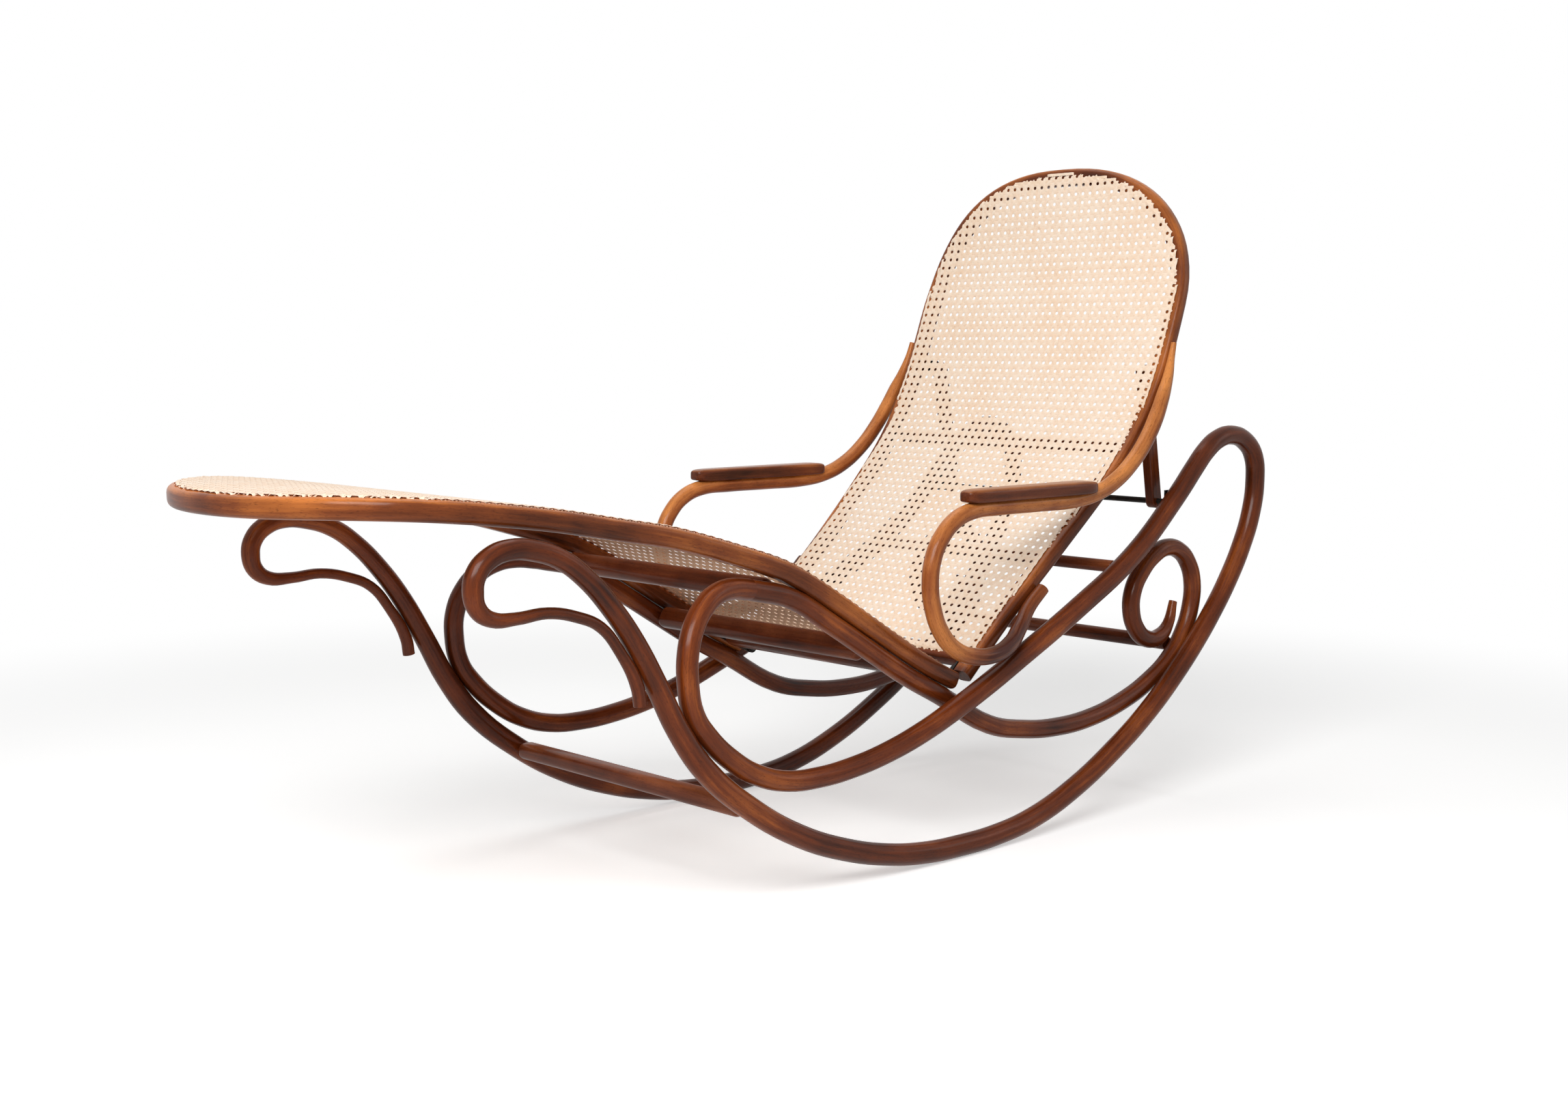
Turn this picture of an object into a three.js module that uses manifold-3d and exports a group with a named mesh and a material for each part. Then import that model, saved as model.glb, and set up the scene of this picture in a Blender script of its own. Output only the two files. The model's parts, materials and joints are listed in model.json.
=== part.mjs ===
import * as THREE from "three";
import { mergeVertices } from "three/addons/utils/BufferGeometryUtils.js";
import ManifoldModule from "manifold-3d";

// A bentwood rocking chaise. Two side frames, each bent from one long rod, carry a caned seat hoop.
// A caned back hoop with two arms reclines on a pair of strap hinges, and a folding prop holds it up.
// Lengths are in millimetres. X runs from the foot to the head, Y across the chair, Z up.

// Clearances
const seatGap = 0.3;
const runningGap = 1;
const boltGap = 0.6;

// Side frames
const frameLength = 1524;
const frameHeight = 561;
const sideSpacing = 518;
const rodRadius = 15.5;
const bearerRadius = 14;
const scrollRadius = 12.5;
const tailRadius = 7;
const tailEndRadius = 8.5;
const curlTipRadius = 5;

// Seat hoop
const seatReach = 1021;
const seatRise = 304;
const railWidth = 28;
const railDepth = 26;
const seatEndLength = 175;

// Back hoop
const backReach = 506;
const backRise = 752;
const backFlare = 28.5;
const backRailDepth = 23;
const backEndLength = 240;

// Cane panels
const caneThickness = 2;
const caneMargin = 6;
const caneGap = 0.5;

// Hinge between seat and back
const hingeClear = 14;
const hingePinRadius = 3.2;
const hingePinHead = 6;
const hingeHeadThickness = 2;
const strapThickness = 3;
const strapWidth = 17;
const seatStrapLength = 74;
const backStrapLength = 82;

// Cross members
const frontStretcherHeight = 24;
const frontStretcherWidth = 30;
const seatCrossbarHeight = 30;
const seatCrossbarWidth = 24;
const bearerCrossbarHeight = 32;
const curlStretcherRadius = 11.5;
const diagonalStretcherRadius = 9.5;
const backCrossbarRadius = 12.5;
const endRailWidth = 30;

// Arms
const armRadius = 12;
const armTopAhead = 9.7;
const armTipSpans = { top: 4, foot: 3 };
const armAhead = 121;
const armBowLift = 46;
const padLength = 278;
const padWidth = 46;
const padThickness = 20;
const padGrip = 4;

// Folding prop behind the back
const propPinRadius = 4;
const propLegWidth = 22;
const propLegThickness = 16;
const propFootRadius = 4.8;
const propFootDrop = 11;
const propLugThickness = 4;
const propLugWidth = 26;
const propLugReach = 40;
const propPivotBehind = 17;
const propInset = 12;
const ledgeThickness = 2.6;
const ledgeLength = 16;
const ledgeReach = 12;

// Facets
const facetTurn = THREE.MathUtils.degToRad(11);
const rodSides = 10;
const railSides = 12;
const roundSides = 16;

// Centre line of one side frame. Each pair is a share of the frame's length behind the front of the scroll
// and a share of its height over the lowest point of the runner.
const tailEndShares = [[0.154, 0.492]];
const scrollShares = [
  [0.116, 0.672], [0.093, 0.7], [0.066, 0.715], [0.037, 0.711], [0.016, 0.715], [0.004, 0.737], [0, 0.773],
  [0.003, 0.809], [0.015, 0.839], [0.033, 0.852], [0.054, 0.846], [0.078, 0.824], [0.101, 0.781]
];
const descentShares = [[0.125, 0.715], [0.148, 0.633], [0.171, 0.528], [0.193, 0.421], [0.221, 0.322]];
const runnerShares = [
  [0.271, 0.212], [0.326, 0.124], [0.381, 0.064], [0.435, 0.025], [0.485, 0.005], [0.533, 0], [0.581, 0.003],
  [0.637, 0.024], [0.699, 0.077], [0.761, 0.155], [0.817, 0.243], [0.862, 0.333], [0.897, 0.415]
];
const rearLoopShares = [
  [0.926, 0.494], [0.953, 0.579], [0.977, 0.674], [0.994, 0.772], [1, 0.864], [0.996, 0.934], [0.979, 0.98],
  [0.953, 1], [0.928, 0.989], [0.908, 0.959], [0.889, 0.915]
];
const diagonalShares = [
  [0.867, 0.859], [0.844, 0.805], [0.821, 0.753], [0.796, 0.703], [0.761, 0.645], [0.712, 0.579],
  [0.664, 0.517], [0.616, 0.459], [0.571, 0.405]
];
const lowerCurveShares = [[0.524, 0.354], [0.479, 0.311], [0.434, 0.279], [0.391, 0.26], [0.35, 0.253]];
const loopStartShares = [[0.312, 0.26], [0.279, 0.287], [0.251, 0.331]];
const loopFrontHeightShare = 0.524;

// The top of the front loop. The second number is a share of the way up from the loop's foremost place to where
// the rod would touch the seat rail.
const loopTopShares = [
  [0.203, 0], [0.204, 0.235], [0.212, 0.447], [0.226, 0.635], [0.243, 0.771], [0.263, 0.863], [0.286, 0.904]
];
const bearerShares = [0.33, 0.25, 0.17, 0.09, 0.025];

// Places down the descent and runner where the tail and the front loop are bolted to them.
const tailTouchShares = [0.103, 0.056];
const loopTouchShares = [0.206, 0.1735];
const curlShares = [
  [0.592, 0.281], [0.643, 0.249], [0.695, 0.236], [0.75, 0.243], [0.802, 0.272], [0.842, 0.311], [0.877, 0.364],
  [0.902, 0.434], [0.915, 0.509], [0.917, 0.58], [0.908, 0.637], [0.892, 0.674], [0.87, 0.687], [0.848, 0.669],
  [0.827, 0.626], [0.814, 0.575], [0.812, 0.52], [0.821, 0.467], [0.838, 0.435], [0.86, 0.434], [0.876, 0.468],
  [0.884, 0.53]
];

// Side view of the seat and of the back, from the hinge outwards, as shares of their reach and rise.
const seatShares = [
  [0, 0], [0.071, 0.119], [0.167, 0.309], [0.23, 0.437], [0.289, 0.55], [0.33, 0.618], [0.41, 0.706],
  [0.509, 0.799], [0.59, 0.85], [0.7, 0.916], [0.854, 0.981], [0.94, 0.996], [1, 0.993]
];
const backShares = [
  [0, 0], [0.201, 0.12], [0.388, 0.228], [0.569, 0.338], [0.67, 0.406], [0.741, 0.466], [0.794, 0.524],
  [0.84, 0.586], [0.878, 0.647], [0.913, 0.71], [0.943, 0.763], [0.964, 0.814], [0.979, 0.862], [0.992, 0.934],
  [1, 1]
];

// Side view of an arm from its upper end round its bow to its lower end. The third number is how far out it
// stands, from 0 against the back rail to 1 in its own plane outside the side frame.
const armShares = [
  [0.997, 0.97, 0], [0.984, 0.92, 0], [0.964, 0.858, 0.1], [0.934, 0.792, 0.36], [0.897, 0.717, 0.72],
  [0.85, 0.643, 0.95], [0.795, 0.578, 1], [0.716, 0.515, 1], [0.635, 0.48, 1], [0.55, 0.466, 1], [0.4, 0.464, 1],
  [0.25, 0.464, 1], [0.151, 0.459, 1], [0.085, 0.433, 1], [0.036, 0.382, 1], [0.008, 0.319, 1], [0, 0.25, 1],
  [0.009, 0.178, 1], [0.038, 0.101, 1], [0.092, 0.038, 1], [0.164, 0.006, 1], [0.239, 0.002, 1],
  [0.315, 0.022, 0.75], [0.385, 0.058, 0.3], [0.45, 0.11, 0], [0.505, 0.163, 0]
];

// Places along the frame, the seat and the back.
const frontStretcherShares = [0.273, 0.208];
const seatCrossbarShare = 0.36;
const bearerCrossbarShare = 0.172;
const seatEndRailShare = 0.047;
const backEndRailShare = 0.05;
const curlStretcherShares = [0.888, 0.405];
const diagonalStretcherIndexShare = 3.8;
const backCrossbarShare = 0.525;
const armTopShare = 0.715;
const propPivotShare = 0.66;
const propFootIndexShare = 0.36;
const backTaperShare = 0.7;
const caneEndShare = 0.25;
const seatEndShare = 1;
const backEndShare = 0.82;
const curlFadeShare = 0.72;
const armTipShare = 0.5;
const strapClearShare = 0.68;
const eyeLengthShare = 1.75;
const stepShare = 0.8;
const padFullShare = 1.06;
const padLevelShare = 0.385;
const padRearShare = 0.44;
const padFrontShare = 0.78;
const padThinShare = 0.62;
const padEndShare = 0.03;
const padRoundShare = 0.3;
const propFootShare = 0.5;
const hingeShares = [0.547, 0.404];

// Woods, cane and iron
const beech = new THREE.MeshStandardMaterial({ color: 0x7a3f22, roughness: 0.38, metalness: 0 });
const darkBeech = new THREE.MeshStandardMaterial({ color: 0x5a2c19, roughness: 0.4, metalness: 0 });
const cane = new THREE.MeshStandardMaterial({ color: 0xf0d9b8, roughness: 0.6, metalness: 0 });
const iron = new THREE.MeshStandardMaterial({ color: 0x2b2725, roughness: 0.5, metalness: 0.9 });

const across = new THREE.Vector3(0, 1, 0);
const lowestCentre = rodRadius;
const outerPlane = sideSpacing / 2;
const innerPlane = outerPlane - rodRadius - bearerRadius - boltGap;
const seatPlane = outerPlane - rodRadius - runningGap - railWidth / 2;
const hinge = framePoint(hingeShares, 0);

const wasm = await ManifoldModule();
wasm.setup();

// Places

function framePoint([alongShare, heightShare], y) {
  return new THREE.Vector3(alongShare * frameLength, y, lowestCentre + heightShare * frameHeight);
}

// The unit vector square to a direction in the side view. With the path running towards the head it points up.
function squareTo(direction) {
  return new THREE.Vector3(-direction.z, 0, direction.x).normalize();
}

// A point that lies beside a path in the side view, at a distance to its upper side.
function beside(path, share, distance) {
  const point = path.getPoint(share);
  return point.addScaledVector(squareTo(path.getTangent(share)), distance);
}

function smoothPath(points) {
  const path = new THREE.CatmullRomCurve3(points, false, "centripetal");
  path.arcLengthDivisions = points.length * roundSides;
  return path;
}

// Solids

function closedSolid(positions, faces) {
  const geometry = new THREE.BufferGeometry();
  geometry.setAttribute("position", new THREE.Float32BufferAttribute(positions, 3));
  geometry.setIndex(faces);
  geometry.computeVertexNormals();
  return geometry;
}

// Joins rings of points, each with the same count, into a solid with a flat cap at each end.
function loft(rings) {
  const count = rings[0].length;
  const positions = rings.flat().flatMap((point) => [point.x, point.y, point.z]);
  const faces = [];
  for (let ring = 0; ring < rings.length - 1; ring += 1) {
    for (let side = 0; side < count; side += 1) {
      const next = (side + 1) % count;
      const here = ring * count;
      const ahead = here + count;
      faces.push(here + side, here + next, ahead + side);
      faces.push(here + next, ahead + next, ahead + side);
    }
  }
  const last = (rings.length - 1) * count;
  for (let side = 1; side < count - 1; side += 1) {
    faces.push(0, side + 1, side);
    faces.push(last, last + side, last + side + 1);
  }
  return closedSolid(positions, faces);
}

// One ring round a centre. The section's first measure runs to the side, its second upwards.
function ringAt(centre, tangent, side, section) {
  const up = new THREE.Vector3().crossVectors(tangent, side).normalize();
  const flank = new THREE.Vector3().crossVectors(up, tangent).normalize();
  return section.map(([out, high]) => centre.clone().addScaledVector(flank, out).addScaledVector(up, high));
}

function roundSection(radius, sides) {
  return Array.from({ length: sides }, (_, index) => {
    const angle = (index / sides) * Math.PI * 2;
    return [radius * Math.cos(angle), radius * Math.sin(angle)];
  });
}

// A rectangle with softly rounded corners, as a rail that was turned over by a moulding plane.
function railSection(width, depth, sides = railSides, cornerShare = 0.45) {
  return Array.from({ length: sides }, (_, index) => {
    const angle = ((index + 0.5) / sides) * Math.PI * 2;
    const out = Math.sign(Math.cos(angle)) * Math.abs(Math.cos(angle)) ** cornerShare;
    const high = Math.sign(Math.sin(angle)) * Math.abs(Math.sin(angle)) ** cornerShare;
    return [(out * width) / 2, (high * depth) / 2];
  });
}

// A straight bar between two points with the same section at both ends.
function bar(from, to, side, section) {
  const tangent = to.clone().sub(from).normalize();
  return loft([from, to].map((centre) => ringAt(centre, tangent, side, section)));
}

function barAcross(centre, halfLength, section, side) {
  const from = centre.clone().addScaledVector(across, -halfLength);
  const to = centre.clone().addScaledVector(across, halfLength);
  return bar(from, to, side, section);
}

// Stations along a path between two of its control points, closer together where it turns.
function pathStations(path, first, last) {
  const spans = path.points.length - 1;
  const stations = [];
  for (let span = first; span < last; span += 1) {
    const turn = path.getTangent(span / spans).angleTo(path.getTangent((span + 1) / spans));
    const steps = Math.max(1, Math.ceil(turn / facetTurn));
    for (let step = 0; step < steps; step += 1) {
      stations.push((span + step / steps) / spans);
    }
  }
  stations.push(last / spans);
  return stations;
}

// A bent rod between two control points, whose radius follows the radii named there.
function bentRod(path, radii, first, last, extra = 0) {
  const spans = path.points.length - 1;
  const stations = pathStations(path, first, last);
  const rings = stations.map((share, index) => {
    const place = share * spans;
    const before = Math.min(Math.floor(place), spans - 1);
    const radius = THREE.MathUtils.lerp(radii[before], radii[before + 1], place - before) + extra;
    const tangent = path.getTangent(share);
    const centre = path.getPoint(share);
    const isEnd = index === 0 || index === stations.length - 1;
    if (isEnd) centre.addScaledVector(tangent, index === 0 ? seatGap / 2 : -seatGap / 2);
    return ringAt(centre, tangent, across, roundSection(radius, rodSides));
  });
  return loft(rings);
}

function toManifold(geometry) {
  const bare = geometry.clone();
  bare.deleteAttribute("normal");
  bare.deleteAttribute("uv");
  const merged = mergeVertices(bare);
  const vertProperties = new Float32Array(merged.attributes.position.array);
  const triVerts = new Uint32Array(merged.index.array);
  return new wasm.Manifold(new wasm.Mesh({ numProp: 3, vertProperties, triVerts }));
}

function fromManifold(solid) {
  const mesh = solid.getMesh();
  return closedSolid(Array.from(mesh.vertProperties), Array.from(mesh.triVerts));
}

function cutAway(body, ...tools) {
  return fromManifold(tools.reduce((rest, tool) => rest.subtract(toManifold(tool)), toManifold(body)));
}

function joined(...pieces) {
  return fromManifold(pieces.map(toManifold).reduce((whole, piece) => whole.add(piece)));
}

function named(name, geometry, material) {
  const mesh = new THREE.Mesh(geometry, material);
  mesh.name = name;
  return mesh;
}

// Seat and back panels

function panelPath(sharesTable, reach, rise, towards) {
  const points = sharesTable.map(([along, up]) => {
    return new THREE.Vector3(hinge.x + towards * along * reach, 0, hinge.z + up * rise);
  });
  return smoothPath(points);
}

const seatPath = panelPath(seatShares, seatReach, seatRise, -1);
const backPath = panelPath(backShares, backReach, backRise, 1);
const seatPanel = {
  path: seatPath,
  length: seatPath.getLength(),
  towards: -1,
  depth: railDepth,
  endLength: seatEndLength,
  endShare: seatEndShare,
  halfWidth: () => seatPlane
};
const backPanel = {
  path: backPath,
  length: backPath.getLength(),
  towards: 1,
  depth: backRailDepth,
  endLength: backEndLength,
  endShare: backEndShare,
  halfWidth: (share) => {
    const widen = THREE.MathUtils.smoothstep(share, backStrapLength / backPath.getLength(), backTaperShare);
    return seatPlane + backFlare * widen;
  }
};

// The direction that a sitter's side of the panel faces.
function panelNormal(panel, share) {
  return squareTo(panel.path.getTangentAt(share)).multiplyScalar(panel.towards);
}

// A place on a panel. Past the end of its centre line the panel runs on straight.
function panelPoint(panel, share, y, lift = 0) {
  const within = Math.min(share, 1);
  const point = panel.path.getPointAt(within).setY(y);
  point.addScaledVector(panel.path.getTangentAt(within), (share - within) * panel.length);
  return point.addScaledVector(panelNormal(panel, within), lift);
}

// The height of the seat's centre line over a place along the chair.
function seatHeightAt(x) {
  const steps = seatShares.length * roundSides;
  const places = Array.from({ length: steps + 1 }, (_, index) => seatPath.getPoint(index / steps));
  return places.reduce((nearest, place) => {
    return Math.abs(place.x - x) < Math.abs(nearest.x - x) ? place : nearest;
  }).z;
}

// Stations up one side of a panel and round to the middle of its free end. Each is a share of the panel's
// length and a place across it. The edge lies inside or outside the rail's centre line by the offset.
function edgeStations(panel, firstShare, offset = 0) {
  const straightEnd = 1 - panel.endLength / panel.length;
  const endReach = (panel.endLength + offset) / panel.length;
  const straightSteps = 14;
  const roundSteps = 10;
  const side = [];
  for (let step = 0; step < straightSteps; step += 1) {
    const share = Math.max(firstShare, (straightEnd * step) / straightSteps);
    side.push([share, panel.halfWidth(share) + offset]);
  }
  for (let step = 0; step <= roundSteps; step += 1) {
    const angle = ((step / roundSteps) * Math.PI) / 2;
    const share = straightEnd + endReach * Math.sin(angle) ** panel.endShare;
    const half = (panel.halfWidth(Math.min(share, 1)) + offset) * Math.abs(Math.cos(angle)) ** panel.endShare;
    side.push([share, half]);
  }
  return side;
}

// A hoop bent from one rail, from one side of the hinge round the free end to the other side.
function hoop(panel) {
  const edge = edgeStations(panel, hingeClear / panel.length);
  const middle = [edge.at(-1)[0], 0];
  const rightSide = edge.slice(0, -1);
  const stations = [...rightSide.map(([share, half]) => [share, -half]), middle, ...rightSide.reverse()];
  const centres = stations.map(([share, y]) => panelPoint(panel, share, y));
  const rings = centres.map((centre, index) => {
    const before = centres[Math.max(index - 1, 0)];
    const after = centres[Math.min(index + 1, centres.length - 1)];
    const tangent = after.clone().sub(before).normalize();
    const normal = panelNormal(panel, stations[index][0]);
    const side = new THREE.Vector3().crossVectors(normal, tangent);
    return ringAt(centre, tangent, side, railSection(railWidth, panel.depth));
  });
  return loft(rings);
}

// The caned sheet. It lies on the hoop's rails and reaches to a margin inside their outer edge.
function canePanel(panel, firstShare) {
  const lift = panel.depth / 2 + caneGap + caneThickness / 2;
  const edge = edgeStations(panel, firstShare, railWidth / 2 - caneMargin);
  const blunt = edge.at(-2)[1] * caneEndShare;
  const rings = edge.map(([share, half], index) => {
    const reach = index === edge.length - 1 ? blunt : half;
    const tangent = panel.path.getTangentAt(Math.min(share, 1));
    const side = new THREE.Vector3().crossVectors(panelNormal(panel, Math.min(share, 1)), tangent);
    const section = [
      [reach, -caneThickness / 2],
      [reach, caneThickness / 2],
      [-reach, caneThickness / 2],
      [-reach, -caneThickness / 2]
    ];
    return ringAt(panelPoint(panel, share, 0, lift), tangent, side, section);
  });
  return loft(rings);
}

// The rail that closes a hoop beside the hinge.
function endRail(panel, share) {
  const half = panel.halfWidth(share) - railWidth / 2 - strapThickness - seatGap * 2;
  const side = panel.path.getTangentAt(share);
  return barAcross(panelPoint(panel, share, 0), half, railSection(endRailWidth, panel.depth), side);
}

function caneStart(panel, endRailPlace) {
  return endRailPlace - (endRailWidth / 2 - caneMargin) / panel.length;
}

// Side frames

// The rod that one side frame is bent from: its centre line, its radii and where its lengths are spliced.
function sideRod(sign) {
  const outer = (shares) => shares.map((pair) => framePoint(pair, sign * outerPlane));
  const descent = outer(descentShares);
  const runner = outer(runnerShares);
  const fall = smoothPath([...descent, ...runner]);
  const touch = (share, distance) => beside(fall, share, distance);
  const tail = [
    ...outer(tailEndShares),
    touch(tailTouchShares[0], -(tailEndRadius + rodRadius + boltGap)),
    touch(tailTouchShares[1], -(tailRadius + rodRadius + boltGap))
  ];
  const scroll = outer(scrollShares);
  const rearLoop = outer(rearLoopShares);
  const diagonal = outer(diagonalShares);
  const lowerCurve = outer(lowerCurveShares);
  const loopTouch = rodRadius + bearerRadius + boltGap;
  const loopTouches = loopTouchShares.map((share) => touch(share, loopTouch));
  const loopStart = [...outer(loopStartShares), ...loopTouches];
  const drop = railDepth / 2 + bearerRadius + boltGap;
  const loopTop = loopTopShares.map(([along, up], index) => {
    const inward = THREE.MathUtils.smoothstep(index, 0, loopTopShares.length);
    const plane = THREE.MathUtils.lerp(outerPlane, innerPlane, inward);
    const place = framePoint([along, loopFrontHeightShare], sign * plane);
    place.z = THREE.MathUtils.lerp(place.z, seatHeightAt(place.x) - drop, up);
    return place;
  });
  const bearer = bearerShares.map((share) => panelPoint(seatPanel, share, sign * innerPlane, -drop));
  const curl = curlShares.map((pair) => framePoint(pair, sign * innerPlane));
  const groups = {
    tail, scroll, descent, runner, rearLoop, diagonal, lowerCurve, loopStart, loopTop, bearer, curl
  };
  const ends = {};
  const points = [];
  for (const [group, list] of Object.entries(groups)) {
    points.push(...list);
    ends[group] = points.length - 1;
  }
  return { path: smoothPath(points), radii: sideRadii(groups), ends };
}

function sideRadii(groups) {
  const tailSteps = [tailEndRadius, tailEndRadius, tailRadius];
  const scrollRadii = groups.scroll.map((_, index) => {
    const thicken = THREE.MathUtils.smoothstep(index, 2, groups.scroll.length / 2);
    return THREE.MathUtils.lerp(tailRadius, scrollRadius, thicken);
  });
  const descentRadii = groups.descent.map((_, index) => {
    return THREE.MathUtils.lerp(scrollRadius, rodRadius, (index + 1) / groups.descent.length);
  });
  const same = (group, radius) => group.map(() => radius);
  const curlRadii = groups.curl.map((_, index) => {
    const fadeFrom = groups.curl.length * curlFadeShare;
    const fade = THREE.MathUtils.smoothstep(index, fadeFrom, groups.curl.length - 1);
    return THREE.MathUtils.lerp(bearerRadius, curlTipRadius, fade);
  });
  return [
    ...tailSteps, ...scrollRadii, ...descentRadii, ...same(groups.runner, rodRadius),
    ...same(groups.rearLoop, rodRadius), ...same(groups.diagonal, rodRadius),
    ...same(groups.lowerCurve, rodRadius).map((radius, index, all) => {
      return THREE.MathUtils.lerp(radius, bearerRadius, (index + 1) / all.length);
    }),
    ...same(groups.loopStart, bearerRadius), ...same(groups.loopTop, bearerRadius),
    ...same(groups.bearer, bearerRadius), ...curlRadii
  ];
}

function sideFrame(sign, side) {
  const { path, radii, ends } = sideRod(sign);
  const lengths = [
    ["front_scroll", 0, ends.descent - 2],
    ["runner", ends.descent - 2, ends.runner],
    ["rear_loop", ends.runner, ends.rearLoop],
    ["diagonal", ends.rearLoop, ends.lowerCurve],
    ["front_loop", ends.lowerCurve, ends.loopTop],
    ["seat_bearer", ends.loopTop, ends.bearer + 1],
    ["rear_curl", ends.bearer + 1, ends.curl]
  ];
  return lengths.map(([name, first, last]) => {
    return named(`${name}_${side}`, bentRod(path, radii, first, last), beech);
  });
}

// Cross members

function crossMembers() {
  const between = outerPlane - rodRadius - seatGap;
  const betweenBearers = innerPlane - bearerRadius - seatGap;
  const upright = new THREE.Vector3(1, 0, 0);
  const frontSection = railSection(frontStretcherWidth, frontStretcherHeight);
  const front = barAcross(framePoint(frontStretcherShares, 0), between, frontSection, upright);
  const drop = -(railDepth / 2 + bearerRadius + boltGap);
  const seatBar = barAcross(
    panelPoint(seatPanel, seatCrossbarShare, 0, drop),
    betweenBearers,
    railSection(seatCrossbarWidth, seatCrossbarHeight),
    seatPath.getTangentAt(seatCrossbarShare)
  );
  const bearerBar = barAcross(
    panelPoint(seatPanel, bearerCrossbarShare, 0, drop),
    betweenBearers,
    railSection(seatCrossbarWidth, bearerCrossbarHeight),
    seatPath.getTangentAt(bearerCrossbarShare)
  );
  const curlBar = barAcross(
    framePoint(curlStretcherShares, 0),
    betweenBearers,
    roundSection(curlStretcherRadius, rodSides),
    upright
  );
  const { path, ends } = sideRod(1);
  const place = (ends.rearLoop + 1 + diagonalStretcherIndexShare) / (path.points.length - 1);
  const diagonalCentre = path.getPoint(place).setY(0);
  const diagonalSection = roundSection(diagonalStretcherRadius, rodSides);
  return [
    named("front_stretcher", front, darkBeech),
    named("seat_crossbar", seatBar, darkBeech),
    named("bearer_crossbar", bearerBar, darkBeech),
    named("curl_stretcher", curlBar, darkBeech),
    named("diagonal_stretcher", barAcross(diagonalCentre, between, diagonalSection, upright), darkBeech)
  ];
}

// Seat

function seat() {
  return [
    named("seat_hoop", hoop(seatPanel), beech),
    named("seat_end_rail", endRail(seatPanel, seatEndRailShare), darkBeech),
    named("seat_cane", canePanel(seatPanel, caneStart(seatPanel, seatEndRailShare)), cane)
  ];
}

// Back

// The bar behind the back hoop, seated against the rear faces of its rails.
function backCrossbarCentre() {
  return panelPoint(backPanel, backCrossbarShare, 0, -(backRailDepth / 2 + backCrossbarRadius + seatGap));
}

function back() {
  const half = backPanel.halfWidth(backCrossbarShare) - railWidth / 4;
  const side = new THREE.Vector3(1, 0, 0);
  const crossbar = barAcross(backCrossbarCentre(), half, roundSection(backCrossbarRadius, rodSides), side);
  return [
    named("back_hoop", hoop(backPanel), beech),
    named("back_end_rail", endRail(backPanel, backEndRailShare), darkBeech),
    named("back_cane", canePanel(backPanel, caneStart(backPanel, backEndRailShare)), cane),
    named("back_crossbar", crossbar, darkBeech)
  ];
}

// Arms

// Both ends of an arm are shaved down to lie close along the back rail.
function armRadii() {
  const last = armShares.length - 1;
  return armShares.map((_, index) => {
    const top = 1 - THREE.MathUtils.smoothstep(index, 0, armTipSpans.top);
    const foot = THREE.MathUtils.smoothstep(index, last - armTipSpans.foot, last);
    return armRadius * THREE.MathUtils.lerp(1, armTipShare, Math.max(top, foot));
  });
}

// The centre line of an arm. Its bow stands ahead of the hinge, and its upper end lies beside the back rail.
function armPath(sign, radii) {
  const wide = outerPlane + rodRadius + runningGap + armRadius;
  const top = panelPoint(backPanel, armTopShare, 0, armTopAhead);
  const front = hinge.x - armAhead;
  const low = hinge.z + armBowLift;
  const points = armShares.map(([along, up, out], index) => {
    const x = THREE.MathUtils.lerp(front, top.x, along);
    const z = THREE.MathUtils.lerp(low, top.z, up);
    const upTheBack = Math.hypot(x - hinge.x, z - hinge.z) / backPanel.length;
    const against = backPanel.halfWidth(Math.min(upTheBack, 1)) + railWidth / 2 + radii[index] + seatGap;
    return new THREE.Vector3(x, sign * THREE.MathUtils.lerp(against, wide, out), z);
  });
  return smoothPath(points);
}

// The pad is bored along its underside to sit over the level part of the arm.
function armPad(path, radii) {
  const levelIndex = Math.round(armShares.length * padLevelShare);
  const level = path.points[levelIndex];
  const rear = level.x + padLength * padRearShare;
  const bottom = level.z + armRadius - padGrip;
  const steps = 12;
  const bored = 4;
  const rings = [];
  for (let step = 0; step <= steps; step += 1) {
    const share = step / steps;
    const within = THREE.MathUtils.clamp(share, padEndShare, 1 - padEndShare);
    const swell = Math.min(1, padFullShare * Math.sin(Math.PI * within) ** padRoundShare);
    const width = padWidth * swell * THREE.MathUtils.lerp(1, padFrontShare, share);
    const height = padThickness * THREE.MathUtils.lerp(padThinShare, 1, swell);
    const centre = new THREE.Vector3(rear - padLength * (1 - share), level.y, bottom + height / 2);
    rings.push(ringAt(centre, new THREE.Vector3(1, 0, 0), across, railSection(width, height)));
  }
  const groove = bentRod(path, radii, levelIndex - bored, levelIndex + bored, seatGap);
  return cutAway(loft(rings), groove);
}

function arm(sign, side) {
  const radii = armRadii();
  const path = armPath(sign, radii);
  return [
    named(`arm_${side}`, bentRod(path, radii, 0, radii.length - 1), beech),
    named(`arm_pad_${side}`, armPad(path, radii), beech)
  ];
}

// Hinges between seat and back

function flatPlate(outline, depth) {
  return new THREE.ExtrudeGeometry(outline, { depth, bevelEnabled: false, curveSegments: roundSides / 2 });
}

// A flat strap seen from the side: an eye round the hinge pin and a bar that ends round.
function strap(direction, length, from) {
  const angle = Math.atan2(direction.z, direction.x);
  const half = strapWidth / 2;
  const outline = new THREE.Shape();
  outline.absarc(0, 0, half, Math.PI / 2, (Math.PI * 3) / 2, false);
  outline.lineTo(length - half, -half);
  outline.absarc(length - half, 0, half, -Math.PI / 2, Math.PI / 2, false);
  outline.lineTo(0, half);
  const hole = new THREE.Path();
  hole.absarc(0, 0, hingePinRadius + seatGap, 0, Math.PI * 2, true);
  outline.holes.push(hole);
  const plate = flatPlate(outline, strapThickness);
  plate.rotateZ(angle);
  plate.rotateX(Math.PI / 2);
  plate.translate(hinge.x, from + strapThickness, hinge.z);
  return plate;
}

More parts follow.
